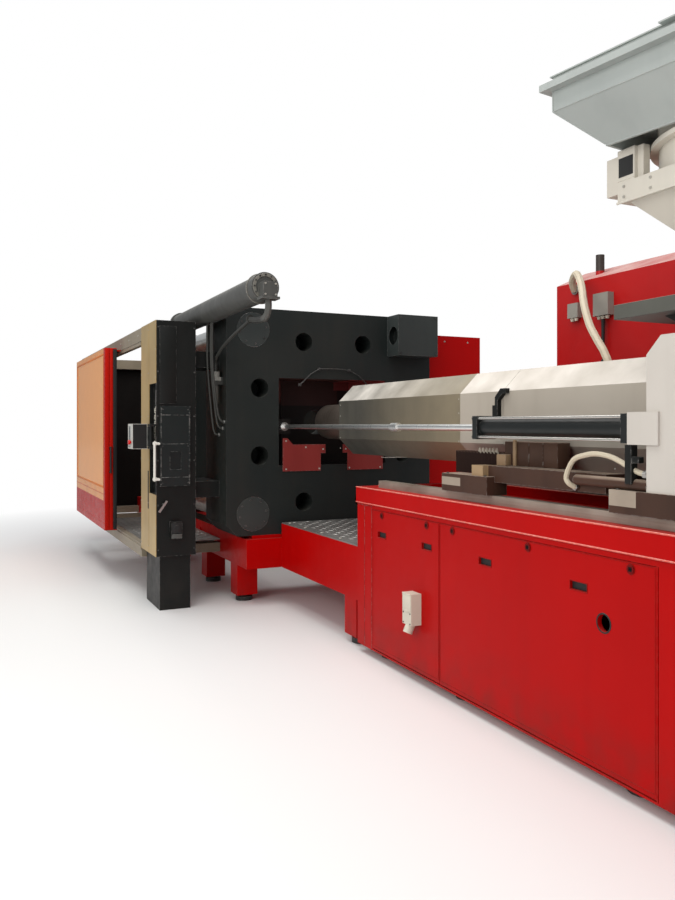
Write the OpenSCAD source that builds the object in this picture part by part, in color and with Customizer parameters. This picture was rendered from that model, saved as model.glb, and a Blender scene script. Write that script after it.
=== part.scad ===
// Hydraulic two-platen injection moulding machine, horizontal, with its operator gate part open.
// X runs from the clamp end to the injection end, Y from the operator side to the rear, Z up.
// Lengths along the machine are measured from the rear face of the fixed platen, heights from the
// floor, and the whole machine is then set with the middle of its footprint at the origin.

/* [Platens] */
// Width of both platens
platen_w = 2160; // [2080:10:2240]
// Height of both platens
platen_h = 2100; // [2060:10:2140]
// Thickness of the fixed platen
fixed_t = 650; // [600:10:700]
// Thickness of the moving platen
moving_t = 600; // [540:10:680]
// Height of the mould axis above the floor
axis_z = 1700; // [1680:5:1720]
// Distance between the two mould faces as shown
daylight = 1800; // [1500:20:2100]
// Cut corner of a platen
platen_c = 110; // [60:5:120]
// Diameter of the bore for the mould's locating ring
locating_d = 250; // [160:10:315]
// Side of the pocket for the nozzle, across the machine
pocket_w = 1140; // [900:10:1200]
// Side of the pocket for the nozzle, upright
pocket_h = 820; // [700:10:860]
// Depth of the pocket for the nozzle
pocket_depth = 450; // [350:10:520]
// Diameter of the cored holes round the pocket
core_d = 175; // [120:5:190]
// Radius of the ring of cored holes
core_ring_r = 820; // [780:5:840]
// Depth of the cored holes
core_depth = 300; // [100:10:400]
// Closest spacing of the mould clamping holes
mould_pitch = 560; // [420:70:560]
// Diameter of a mould clamping hole
mould_hole_d = 25; // [20:1:36]
// Spacing of the robot's bolts along the machine
robot_x = 400; // [300:10:450]
// Spacing of the robot's bolts across the machine
robot_y = 1000; // [600:10:1100]
// Diameter of a robot bolt hole
robot_hole_d = 21; // [17:1:26]

/* [Tie bars and locks] */
// Spacing of the tie bars across the machine
tie_y = 1640; // [1620:10:1660]
// Spacing of the tie bars, upright
tie_z = 1700; // [1680:10:1720]
// Diameter of a tie bar
tie_d = 260; // [220:5:270]
// Pitch of the locking grooves
groove_pitch = 40; // [40:5:60]
// Depth of a locking groove
groove_depth = 12; // [8:1:14]
// Length of a split nut along the bar
nut_len = 240; // [200:10:260]
// How far each half of a split nut stands open
nut_open = 70; // [66:1:80]
// Closing travel of the moving platen
close_travel = 1200; // [1000:40:1200]
// Opening travel of the moving platen
open_travel = 800; // [400:40:800]
// Height of the rear top tie bar cover
cover_h = 400; // [380:5:420]
// Width of the rear top tie bar cover
cover_w = 450; // [420:5:470]
// How far the tie bar cover stands off the platen
cover_t = 212; // [190:2:240]

/* [Traverse and ejector] */
// Outer diameter of a traverse cylinder
traverse_d = 207; // [190:1:215]
// Distance of a traverse cylinder from the centre plane
traverse_y = 1200; // [1190:5:1220]
// Height of a traverse cylinder above the mould axis
traverse_rise = 1005; // [1000:5:1020]
// How far a traverse cylinder runs past the fixed platen, to the injection end
traverse_out = 1360; // [1000:10:1400]
// How far a traverse cylinder runs into the mould space from the rear face of the fixed platen
traverse_in = 1160; // [900:10:1200]
// Diameter of a traverse rod
traverse_rod_d = 110; // [80:5:120]
// Diameter of an ejector rod
ejector_rod_d = 50; // [40:5:60]
// Spacing of the ejector rods, both ways
ejector_pitch = 400; // [350:10:450]
// Travel of the ejector
ejector_travel = 250; // [200:10:300]

/* [Bed] */
// Width of the bed under the platens
bed_w = 1800; // [1700:10:1900]
// Height of the bed's underside above the floor
bed_z0 = 350; // [300:10:400]
// Width of the bed's neck towards the injection base
neck_w = 1120; // [1000:10:1160]
// Height of the neck's top above the floor
neck_z = 755; // [700:5:800]
// Clear width of the product chute through the bed
chute_w = 1100; // [900:10:1200]
// Height of a levelling foot
foot_h = 60; // [50:5:80]
// Diameter of a levelling foot
foot_d = 160; // [120:5:180]

/* [Guards] */
// Distance of the guard's face from the centre plane
guard_y = 1680; // [1660:5:1700]
// Height of the guard's top
guard_z = 2610; // [2600:5:2625]
// Height of the guard panels' lower edge
guard_z0 = 490; // [450:5:520]
// Length of the guard columns beside the fixed platen
column_w = 630; // [560:10:680]
// How far the columns' face lies behind the fixed platen's rear face
column_inset = 150; // [100:5:200]
// Depth of the operator's column, front to back
column_depth = 360; // [340:10:420]
// Room behind the locks of the fully opened platen
end_room = 730; // [600:10:900]
// Length of the sliding gate
gate_w = 2240; // [2100:10:2260]
// Thickness of the sliding gate
gate_t = 125; // [100:5:130]
// Height of the sliding gate
gate_h = 1940; // [1850:5:1940]
// How far the sliding gate stands open
gate_open = 950; // [500:10:1000]
// Height of the gate's red lower panel
gate_kick = 450; // [300:10:600]

/* [Injection base] */
// Distance from the fixed platen's rear face to the base
base_gap = 1700; // [1600:10:1800]
// Length of the base
base_len = 4900; // [4800:10:5100]
// Width of the base
base_w = 1200; // [1160:10:1240]
// Height of the base's top
base_z = 1217; // [1200:1:1225]
// Height of the base's underside
base_z0 = 60; // [60:5:80]
// Height of the cover panels' top edge
cover_z1 = 1070; // [1000:5:1080]
// Width of the left cover panel
left_cover_w = 880; // [800:10:900]
// Width of the middle cover panel
middle_cover_w = 1695; // [1600:5:1750]
// Thickness of a cover panel
panel_t = 25; // [20:1:30]
// Distance of the carriage's rails from the centre plane
rail_y = 500; // [480:5:505]
// Height of a rail
rail_h = 51; // [40:1:60]

/* [Injection unit] */
// Outer diameter of the barrel
barrel_d = 330; // [280:5:340]
// Diameter of the screw
screw_d = 150; // [120:5:160]
// Radial play of the screw in the barrel
screw_play = 0.5; // [0.3:0.1:1]
// Distance from the fixed platen's rear face to the barrel guard
guard_x0 = 750; // [600:10:900]
// Width of the barrel guard
guard_w = 600; // [560:10:640]
// Height of the barrel guard
guard_h = 590; // [560:10:620]
// Sheet thickness of the barrel guard
guard_sheet = 5; // [4:1:8]
// Length of the guard's bare steel front section
nose_len = 1850; // [1600:10:2000]
// Injection stroke of the screw
injection_stroke = 500; // [400:10:550]
// Distance from the fixed platen's rear face to the injection housing
housing_x0 = 4420; // [4400:10:4460]
// Length of the injection housing
housing_len = 1150; // [1130:10:1250]
// Width of the injection housing
housing_w = 1120; // [1090:10:1160]
// Height of the injection housing's top above the mould axis
housing_rise = 356; // [340:2:380]
// Length of a carriage cylinder over its heads
carriage_cyl_len = 1200; // [1180:10:1220]
// Side of a carriage cylinder's square heads
head_side = 135; // [125:1:145]
// Diameter of a carriage cylinder's tube
carriage_cyl_d = 104; // [100:1:112]
// Diameter of a carriage cylinder's rod
carriage_rod_d = 40; // [32:1:50]
// Height of a carriage cylinder's axis below the mould axis
carriage_cyl_drop = 45; // [30:5:60]

/* [Hopper] */
// Distance from the housing's front to the hopper's middle
hopper_in = 150; // [140:5:200]
// Width of the hopper's rim
hopper_w = 1300; // [1200:10:1340]
// Height of the hopper's top above the floor
hopper_z = 3310; // [3290:10:3400]
// Sheet thickness of the hopper
hopper_sheet = 8; // [6:1:12]
// Angle of the hopper to the machine
hopper_turn = 8; // [0:1:15]
// Width of the feed throat
throat_w = 300; // [260:10:320]

/* [Cabinet] */
// Distance from the fixed platen's rear face to the power cabinet
cabinet_x0 = 1850; // [1750:10:2000]
// Length of the power cabinet
cabinet_len = 3700; // [3000:10:4000]
// Distance of the power cabinet's face from the centre plane
cabinet_y0 = 1150; // [1050:10:1200]
// Depth of the power cabinet
cabinet_depth = 600; // [500:10:650]
// Height of the power cabinet's eaves
cabinet_z = 2800; // [2600:10:2900]

/* [Hidden] */
$fn = 64;
// Gap between pieces that slide or turn on each other
run_gap = 0.3;
// Overlap of a cutting shape past the face that it cuts
cut = 1;
// Radial clearance of the tie bars in the moving platen
tie_clear = 6;
seat_t = 30;
way_w = 180;
bolt_depth = 60;
platen_z0 = axis_z - platen_h / 2;
platen_z1 = axis_z + platen_h / 2;
bed_top = platen_z0 - seat_t;
mould_x0 = -fixed_t;
mould_x1 = mould_x0 - daylight;
moving_back = mould_x1 - moving_t;
nut_x0 = moving_back - nut_len;
tie_end = nut_x0 - open_travel - 100;
nut_d = 360;
collar_d = 320;
nut_t = 120;
cap_t = 12;
lock_half = 165;
gland_t = 80;
port_side = 110;
port_drop = 33;
port_flange_t = 18;
guard_end = tie_end - end_room;
column_x1 = -column_inset;
column_x0 = column_x1 - column_w;
base_x0 = base_gap;
base_x1 = base_gap + base_len;
base_y = base_w / 2;
base_front = panel_t - base_y;
space_y = 380 - base_y;
slab_z = cover_z1 + 25;
rail_z = base_z + rail_h;
sheet_t = 5;
beam_w = 120;
beam_h = 130;
gate_back_y = guard_y + 70;
gate_face_y = gate_back_y + gate_t;
gate_z0 = 550;
gate_z1 = gate_z0 + gate_h;
rail_t = 10;
gate_rail_z = gate_z1 - 20;
pane_t = 6;
hmi_w = 210;
hmi_depth = 130;
hmi_h = 225;
hmi_x1 = column_x1 - 100;
hmi_y = guard_y + 60;
hmi_z = 1455;
hmi_lug_t = 20;
hinge_x = column_x1 - 75;
hinge_y = -guard_y - 32;
recess_z0 = 1045;
recess_z1 = 2045;
louvre_t = 10;
mid_x = (guard_end - sheet_t - louvre_t + base_x1) / 2;
button_out = 30;
mid_y = (gate_face_y - hmi_y - hmi_depth - button_out) / 2;
carriage_z = axis_z - carriage_cyl_drop;
cyl_seat_t = 100;
carriage_cyl_x0 = housing_x0 - cyl_seat_t - carriage_cyl_len;
shoe_z = rail_z + run_gap;
shoe_z1 = shoe_z + 107;
beam_z0 = shoe_z + 75;
beam_z1 = beam_z0 + 93;
housing_x1 = housing_x0 + housing_len;
hopper_x = housing_x0 + hopper_in;
housing_z0 = shoe_z1;
housing_z1 = axis_z + housing_rise;
shoulder = 80;
feed_d = 120;
outlet_d = 200;
shelf_z = 2250;
shelf_t = 70;
throat_z = 2450;
frame_z = 2723;
frame_r = 440;
drum_z = 2938;
lip_z = hopper_z - 338;
sleeve_z1 = lip_z + 95;
rim_z = hopper_z - 160;
foot_r = hopper_w / 2 - 175;
drive_gap = 180;
drive_t = 300;
bore_d = screw_d + 2 * screw_play;
duct_x = cabinet_x0 + 1370;
anchor_x1 = -60;
cylinder_bore_d = traverse_d - 47;
guard_mid_z = axis_z + 15;
guard_low_z = guard_mid_z - guard_h / 2;
guard_c = 135;
left_cover_x0 = base_x0 + 235;
middle_cover_x0 = left_cover_x0 + left_cover_w + 5;
latch_z = cover_z1 - 35;
grip_z = cover_z1 - 170;
latch_d = 34;
latch_inset = 143;

module at_machine() {
    translate([-mid_x, -mid_y, 0])
        children();
}

// Box between two opposite corners
module block(low, high) {
    translate(low)
        cube(high - low);
}

// Round bar along X
module bar_x(x0, x1, y, z, d) {
    translate([x0, y, z])
        rotate([0, 90, 0])
            cylinder(d = d, h = x1 - x0);
}

// Round bar along Y
module bar_y(x, y0, y1, z, d) {
    translate([x, y1, z])
        rotate([90, 0, 0])
            cylinder(d = d, h = y1 - y0);
}

// Round bar along Z
module bar_z(x, y, z0, z1, d) {
    translate([x, y, z0])
        cylinder(d = d, h = z1 - z0);
}

// Outline drawn across (Y) and up (Z), stretched along X
module along_x(x0, x1) {
    translate([x0, 0, 0])
        rotate([90, 0, 90])
            linear_extrude(x1 - x0)
                children();
}

// Outline drawn along (X) and up (Z), stretched along Y
module along_y(y0, y1) {
    translate([0, y1, 0])
        rotate([90, 0, 0])
            linear_extrude(y1 - y0)
                children();
}

// Rectangle with its four corners cut, about its middle
module cut_rect(w, h, c) {
    x = w / 2;
    y = h / 2;
    polygon([[x - c, -y], [x, c - y], [x, y - c], [x - c, y],
        [c - x, y], [-x, y - c], [-x, c - y], [c - x, -y]]);
}

module at_tie_bars() {
    for (y = [-1, 1])
        for (z = [-1, 1])
            translate([0, y * tie_y / 2, axis_z + z * tie_z / 2])
                children();
}

function mix(a, b, t) = a * (1 - t) + b * t;

// Point on a smooth curve through four hand-set points
function curve_at(a, b, c, d, t) =
    0.5 * (2 * b + (c - a) * t + (2 * a - 5 * b + 4 * c - d) * t * t
        + (3 * b - a - 3 * c + d) * t * t * t);

function smooth(p, n) = concat(
    [for (i = [0:len(p) - 2]) for (k = [0:n - 1])
        curve_at(p[max(i - 1, 0)], p[i], p[i + 1], p[min(i + 2, len(p) - 1)], k / n)],
    [p[len(p) - 1]]);

function unit(v) = v / norm(v);

// Frames carried along a path so that its tube doesn't twist
function carry(path, i, side) =
    let (dir = unit(path[min(i + 1, len(path) - 1)] - path[max(i - 1, 0)]),
        flat = unit(side - (side * dir) * dir))
    i == len(path) - 1 ? [[path[i], flat, cross(dir, flat)]]
    : concat([[path[i], flat, cross(dir, flat)]], carry(path, i + 1, flat));

// Hose along a path, with flat ends
module hose(path, d, first_side, sides = 8) {
    frames = carry(path, 0, first_side);
    n = len(frames);
    points = [for (f = frames) for (k = [0:sides - 1])
        f[0] + d / 2 * (cos(360 * k / sides) * f[1] + sin(360 * k / sides) * f[2])];
    walls = [for (i = [0:n - 2]) for (k = [0:sides - 1])
        [i * sides + k, (i + 1) * sides + k,
            (i + 1) * sides + (k + 1) % sides, i * sides + (k + 1) % sides]];
    start = [[for (k = [0:sides - 1]) k]];
    end = [[for (k = [sides - 1:-1:0]) (n - 1) * sides + k]];
    polyhedron(points, concat(start, walls, end));
}

module levelling_foot() {
    cylinder(d = foot_d, h = foot_h * 0.6);
    cylinder(d = foot_d * 0.4, h = foot_h);
}

bed_legs = [guard_end + 150, guard_end + 1250, mould_x1 - 300, mould_x0 - 700, -fixed_t / 2];
base_legs = [base_x0 + 250, base_x0 + 1200, base_x0 + 2600, base_x0 + 3800, base_x1 - 250];
leg_side = 200;

module clamp_bed() {
    chute_y = chute_w / 2;
    at_machine()
        color("firebrick") {
            for (side = [-1, 1])
                scale([1, side, 1]) {
                    difference() {
                        block([guard_end, chute_y, bed_z0], [50, bed_w / 2, bed_top]);
                        for (x = [guard_end + 700:900:-900])
                            block([x, bed_w / 2 - 12, bed_z0 + 60],
                                [x + 700, bed_w / 2 + 12, bed_top - 60]);
                    }
                    block([guard_end + 200, bed_w / 2 - way_w, bed_top + run_gap],
                        [mould_x0 - 60, bed_w / 2, bed_top + seat_t / 2]);
                    for (x = bed_legs)
                        block([x - leg_side / 2, bed_w / 2 - leg_side, foot_h],
                            [x + leg_side / 2, bed_w / 2, bed_z0 - run_gap]);
                    block([base_x0 - 1.5 * leg_side, neck_w / 2 - leg_side, foot_h],
                        [base_x0 - leg_side / 2, neck_w / 2, bed_z0 - run_gap]);
                }
            for (x = [[guard_end, guard_end + 300], [mould_x1 - 500, mould_x1 - 200], [mould_x0 - 100, 50]])
                block([x[0], run_gap - chute_y, bed_z0], [x[1], chute_y - run_gap, bed_top]);
            block([50 + run_gap, -neck_w / 2, bed_z0], [base_x0, neck_w / 2, neck_z]);
            block([mould_x0, 250 - platen_w / 2, bed_top + run_gap], [0, platen_w / 2 - 250, platen_z0]);
        }
}

module levelling_feet() {
    at_machine()
        color("dimgray") {
            for (x = bed_legs)
                for (side = [-1, 1])
                    translate([x, side * (bed_w / 2 - leg_side / 2), 0])
                        levelling_foot();
            for (side = [-1, 1])
                translate([base_x0 - leg_side, side * (neck_w / 2 - leg_side / 2), 0])
                    levelling_foot();
            for (x = base_legs)
                for (side = [-1, 1])
                    translate([x, side * (base_y - foot_d), 0])
                        cylinder(d = foot_d, h = base_z0);
        }
}

module tread_plates() {
    step_t = 10;
    step_x0 = column_x0 - gate_w;
    step_z = guard_z0 + 30;
    at_machine()
        color("lightslategray") {
            block([60, -neck_w / 2, neck_z], [base_x0 - 10, neck_w / 2, neck_z + step_t]);
            for (side = [-1, 1])
                scale([1, side, 1]) {
                    block([step_x0, bed_w / 2, step_z], [column_x0, guard_y - beam_w / 2, step_z + step_t]);
                    for (x = [step_x0 + 40:500:column_x0 - beam_w - 60])
                        block([x, bed_w / 2, step_z - 80], [x + step_t, guard_y - beam_w, step_z]);
                }
        }
}

module mould_holes(x0, x1) {
    for (y = [-1, -0.5, 0.5, 1])
        for (z = [-1, -0.5, 0.5, 1])
            bar_x(x0, x1, y * mould_pitch, axis_z + z * mould_pitch, mould_hole_d);
}

module fixed_platen() {
    pocket_end = -pocket_depth;
    anchor_h = 70;
    at_machine()
        color("darkslategray") {
            difference() {
                along_x(mould_x0, 0)
                    translate([0, axis_z])
                        cut_rect(platen_w, platen_h, platen_c);
                at_tie_bars() {
                    bar_x(mould_x0 - cut, cut, 0, 0, tie_d + 2 * run_gap);
                    bar_x(-nut_t - cap_t, cut, 0, 0, collar_d + 2 * run_gap);
                }
                translate([0, 0, axis_z - pocket_h / 2])
                    linear_extrude(pocket_h)
                        polygon([[cut, -pocket_w / 2], [cut, pocket_w / 2],
                            [pocket_end, pocket_w / 2 - 200], [pocket_end, 200 - pocket_w / 2]]);
                bar_x(mould_x0 - cut, pocket_end + cut, 0, axis_z, locating_d);
                mould_holes(mould_x0 - cut, mould_x0 + bolt_depth);
                for (k = [0:7])
                    bar_x(-core_depth, cut, core_ring_r * cos(22.5 + 45 * k),
                        axis_z + core_ring_r * sin(22.5 + 45 * k), core_d);
                for (x = [-1, 1])
                    for (y = [-1, 1])
                        bar_z(-fixed_t / 2 + x * robot_x / 2, y * robot_y / 2,
                            platen_z1 - bolt_depth, platen_z1 + cut, robot_hole_d);
            }
            for (side = [-1, 1])
                scale([1, side, 1])
                    block([-260, rail_y - anchor_h, carriage_z - anchor_h],
                        [anchor_x1, pocket_w / 2 + 20, carriage_z + anchor_h]);
        }
}

// Section of a tie bar along its length: plain shank, then locking grooves up to its free end
module tie_section(x0, x1, groove_x0, grooves, grow) {
    r = tie_d / 2 + grow;
    g = r - groove_depth;
    half = groove_pitch / 4 - grow;
    rotate_extrude()
        polygon(concat([[0, x0], [r, x0]],
            [for (k = [0:grooves - 1])
                let (x = groove_x0 + k * groove_pitch)
                for (p = [[r, x - half], [g, x - half], [g, x + half], [r, x + half]]) p],
            [[r, x1], [0, x1]]));
}

module tie_bars() {
    lock_x0 = nut_x0 + groove_pitch / 2;
    count = floor((close_travel + nut_len) / groove_pitch);
    at_machine()
        color("silver")
            at_tie_bars() {
                rotate([0, 90, 0])
                    tie_section(tie_end, -cap_t, lock_x0, count, 0);
                bar_x(-nut_t - cap_t, -cap_t, 0, 0, collar_d);
            }
}

// Flush discs over the sunk tie bar nuts, and the raised cover at the rear top corner
module tie_bar_covers() {
    view_d = 176;
    at_machine()
        color("darkslategray") {
            at_tie_bars()
                bar_x(-cap_t, 0, 0, 0, collar_d - 4);
            translate([0, tie_y / 2, axis_z + tie_z / 2])
                difference() {
                    block([0, -cover_w / 2, -cover_h / 2], [cover_t, cover_w / 2, cover_h / 2]);
                    block([-cut, sheet_t - cover_w / 2, sheet_t - cover_h / 2],
                        [cover_t - sheet_t, cover_w / 2 - sheet_t, cover_h / 2 - sheet_t]);
                    bar_y(cover_t / 2, -cover_w / 2 - cut, -cover_w / 2 + 4 * sheet_t, 0, view_d);
                }
        }
}

// The two traverse cylinders lie on opposite corners, turned half round the mould axis
module at_traverse() {
    for (turn = [0, 180])
        translate([0, 0, axis_z])
            rotate([turn, 0, 0])
                translate([0, traverse_y, -traverse_rise])
                    children();
}

module traverse_cylinders() {
    flange_d = traverse_d + 30;
    corner_y = platen_w / 2 - traverse_y;
    corner_z = traverse_rise - platen_h / 2;
    at_machine()
        color("slategray")
            at_traverse() {
                difference() {
                    union() {
                        bar_x(-traverse_in, traverse_out, 0, 0, traverse_d);
                        bar_x(-traverse_in, -traverse_in + 40, 0, 0, flange_d);
                        bar_x(traverse_out - 110, traverse_out, 0, 0, traverse_d + 12);
                        for (x = [-fixed_t + 60, -180])
                            along_x(x, x + 110)
                                polygon([[corner_y - platen_c, corner_z], [corner_y, corner_z + platen_c],
                                    [0, traverse_d / 2 - 3], [0, 0], [-traverse_d / 2 + 5, -30]]);
                    }
                    bar_x(-traverse_in + gland_t, traverse_out - gland_t, 0, 0, cylinder_bore_d);
                    bar_x(-traverse_in - cut, -traverse_in + gland_t + cut, 0, 0,
                        traverse_rod_d + 2 * run_gap);
                }
                block([traverse_out, -port_side / 2, port_drop - port_side / 2],
                    [traverse_out + port_side, port_side / 2, port_drop + port_side / 2]);
                translate([traverse_out + port_side / 2 + 12, 0, port_drop + port_side / 2])
                    block([-port_side / 2, -70, 0], [port_side / 2, 70, port_flange_t]);
            }
}

module gate_frame() {
    beam_y = guard_y - beam_w;
    beam_z = guard_z - beam_h;
    at_machine()
        color("tan") {
            for (side = [-1, 1])
                scale([1, side, 1]) {
                    block([guard_end, beam_y, beam_z], [column_x0, guard_y, guard_z]);
                    block([guard_end, beam_y, guard_z0 - 90], [column_x0, guard_y, guard_z0 + 30]);
                    for (x = [guard_end, column_x0 - gate_w - beam_w])
                        block([x, beam_y, guard_z0 + 30 + run_gap],
                            [x + beam_w, guard_y, beam_z - run_gap]);
                    for (x = [guard_end, guard_end + 1000, column_x0 - gate_w - beam_w, column_x0 - beam_w])
                        block([x, bed_w / 2, guard_z0 - 90], [x + beam_w, beam_y - run_gap, guard_z0]);
                    block([guard_end + 20, guard_y + run_gap, gate_rail_z - 30],
                        [column_x0, guard_y + rail_t, gate_rail_z]);
                    block([guard_end + 20, guard_y + run_gap, guard_z0 - 20],
                        [column_x0, guard_y + rail_t, guard_z0 + 10]);
                }
            block([guard_end, run_gap - beam_y, beam_z], [guard_end + beam_w, beam_y - run_gap, guard_z]);
        }
}

module operator_column() {
    at_machine()
        color("dimgray") {
            difference() {
                block([column_x0, -guard_y, guard_z0], [column_x1, column_depth - guard_y, guard_z]);
                block([column_x0 + 355, -guard_y - cut, recess_z0],
                    [column_x1 - 25, 40 - guard_y, recess_z1]);
            }
            block([column_x0 + 40, 40 - guard_y, 0],
                [column_x1 - 40, column_depth - guard_y - 40, guard_z0]);
            block([column_x1, -1560, 650], [column_x1 + 60, -1460, 800]);
            for (z = [1000, 2200])
                block([column_x0 + 60, column_depth - guard_y, z],
                    [column_x1 - 60, -platen_w / 2, z + 150]);
            for (z = [hmi_z, hmi_z + hmi_h - hmi_lug_t])
                block([hinge_x - 30, hinge_y - 24, z], [column_x1, 5 - guard_y, z + hmi_lug_t]);
        }
}

module column_facing() {
    seam_x = column_x0 + 340;
    face_t = 5;
    at_machine()
        color("tan")
            difference() {
                block([column_x0, -guard_y - face_t, guard_z0], [column_x1, -guard_y, guard_z]);
                block([column_x0 + 355, -guard_y - face_t - cut, recess_z0],
                    [column_x1 + cut, -guard_y + cut, recess_z1]);
                block([seam_x, -guard_y - face_t - cut, guard_z0 - cut],
                    [seam_x + 12, -guard_y - 2, guard_z + cut]);
            }
}

module column_panel() {
    at_machine()
        color("gray")
            difference() {
                block([column_x1, -1649, 1120], [column_x1 + 18, -1376, 1840]);
                block([column_x1 + 12, -1560, 1270], [column_x1 + 18 + cut, -1460, 1430]);
            }
}

module connector_strip() {
    at_machine()
        color("gainsboro")
            translate([column_x1 - 110, -guard_y + 40, 0]) {
                block([-60, -12, 1180], [60, 0, 1840]);
                for (k = [0:10])
                    block([-35, -26, 1200 + 58 * k], [35, -12, 1240 + 58 * k]);
            }
}

module column_handle() {
    grip_d = 22;
    z0 = 1175;
    z1 = 1515;
    x = column_x1 + 45;
    y = -guard_y - 25;
    foot_y = -guard_y + 12;
    at_machine()
        color("white") {
            bar_z(x, y, z0, z1, grip_d);
            for (z = [z0 + grip_d / 2, z1 - grip_d / 2]) {
                bar_y(x, y, foot_y, z, grip_d);
                bar_x(column_x1, x + grip_d / 2, foot_y, z, grip_d);
            }
        }
}

module column_latch() {
    y = -1620;
    z = 960;
    at_machine()
        color("silver") {
            bar_x(column_x1 + run_gap, column_x1 + 60, y, z, 22);
            translate([column_x1 + 50, y, z])
                rotate([-35, 0, 0])
                    block([-9, -9, -80], [9, 9, 40]);
        }
}

module rear_column() {
    y0 = 1140;
    y_clear = traverse_y + traverse_d / 2 + 20;
    z_clear = axis_z - traverse_rise + traverse_d / 2 + 20;
    at_machine()
        color("firebrick") {
            difference() {
                block([column_x0, y0, guard_z0], [column_x1, guard_y, guard_z]);
                block([column_x0 - cut, y0 - cut, guard_z0 - cut], [column_x1 + cut, y_clear, z_clear]);
            }
            block([column_x1 - 20, guard_y, guard_z0], [column_x1, guard_y + 130, guard_z]);
            block([column_x0 + 40, y_clear + 10, 0], [column_x1 - 40, guard_y - 40, guard_z0]);
            for (z = [1000, 2200])
                block([column_x0 + 60, platen_w / 2, z], [column_x1 - 60, y0, z + 150]);
        }
}

module end_guard() {
    panel_x1 = column_x0 - gate_w;
    at_machine()
        color("firebrick") {
            for (side = [-1, 1])
                scale([1, side, 1])
                    block([guard_end - sheet_t, guard_y, guard_z0 + 10],
                        [panel_x1, guard_y + sheet_t, gate_rail_z - 30]);
            block([guard_end - sheet_t, -guard_y, guard_z0 - 90], [guard_end, guard_y, guard_z]);
            for (k = [-1:1])
                for (z = [1350:100:2250])
                    block([guard_end - sheet_t - louvre_t, k * 1000 - 400, z],
                        [guard_end - sheet_t, k * 1000 + 400, z + 12]);
        }
}

// Hollow behind a cover panel, high enough for the latch cams to turn up behind the front wall
module injection_base() {
    rim_t = 12;
    rim_z = cover_z1 + 30;
    x1 = middle_cover_x0 + middle_cover_w;
    x2 = left_cover_x0 + left_cover_w;
    seam_x = x1 + 5;
    wall_z = slab_z - run_gap;
    at_machine()
        color("red") {
            difference() {
                union() {
                    block([base_x0, -base_y, slab_z], [base_x1, base_y, base_z]);
                    block([base_x0, -base_y - rim_t, rim_z], [base_x1, base_y + rim_t, base_z]);
                }
                block([base_x0 + 100, -rail_y + 60, base_z - 70],
                    [base_x1 - 100, rail_y - 60, base_z + cut]);
            }
            block([base_x0, -base_y, base_z0], [left_cover_x0, base_y, wall_z]);
            difference() {
                block([x1, -base_y, base_z0], [base_x1, base_y, wall_z]);
                block([seam_x, -base_y - cut, base_z0 + 10], [seam_x + 6, -base_y + 6, cover_z1]);
            }
            block([left_cover_x0 + run_gap, space_y + run_gap, base_z0], [x1 - run_gap, base_y, wall_z]);
            block([left_cover_x0 + run_gap, base_front, base_z0], [x1 - run_gap, space_y, base_z0 + 60]);
            block([left_cover_x0 + run_gap, -base_y, base_z0],
                [x1 - run_gap, base_front - run_gap, base_z0 + 10]);
            block([left_cover_x0 + run_gap, -base_y, cover_z1],
                [x1 - run_gap, base_front - run_gap, wall_z]);
            for (x = [left_cover_x0 + run_gap, x1 - 30])
                block([x, base_front, base_z0 + 60 + run_gap], [x + 30 - run_gap, space_y, wall_z]);
            block([x2 - 30, base_front, base_z0 + 60 + run_gap], [middle_cover_x0 + 30, space_y, wall_z]);
        }
}

module base_rails() {
    at_machine()
        color("lightgray")
            for (side = [-1, 1])
                block([base_x0 + 200, side * rail_y - 30, base_z],
                    [base_x1 - 60, side * rail_y + 30, rail_z]);
}

module carriage_rods() {
    tip = carriage_cyl_x0 + 650;
    at_machine()
        color("gainsboro")
            for (side = [-1, 1]) {
                bar_x(anchor_x1, tip, side * rail_y, carriage_z, carriage_rod_d);
                bar_x(anchor_x1, anchor_x1 + 40, side * rail_y, carriage_z, 2 * carriage_rod_d);
                bar_x(2050, 2140, side * rail_y, carriage_z, 1.5 * carriage_rod_d);
                bar_x(tip - 50, tip, side * rail_y, carriage_z, carriage_cyl_d - 24 - 2 * run_gap);
            }
}

module power_cabinet() {
    y1 = cabinet_y0 + cabinet_depth;
    at_machine()
        color("firebrick") {
            block([cabinet_x0 + 50, cabinet_y0 + 50, 0], [cabinet_x0 + cabinet_len - 50, y1 - 50, 100]);
            along_x(cabinet_x0, cabinet_x0 + cabinet_len)
                polygon([[cabinet_y0, 100], [y1, 100], [y1, cabinet_z],
                    [(cabinet_y0 + y1) / 2, cabinet_z + 130], [cabinet_y0, cabinet_z]]);
            block([duct_x - 150, base_y, 300], [duct_x + 150, cabinet_y0, duct_z]);
            block([cabinet_x0 + 475, cabinet_y0 - 60, 2495], [cabinet_x0 + 630, cabinet_y0, 2665]);
            block([cabinet_x0 + 175, cabinet_y0 - 45, 2515], [cabinet_x0 + 290, cabinet_y0, 2630]);
            bar_z(cabinet_x0 + 330, cabinet_y0 + 150, cabinet_z, cabinet_z + 210, 66);
        }
}

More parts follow.
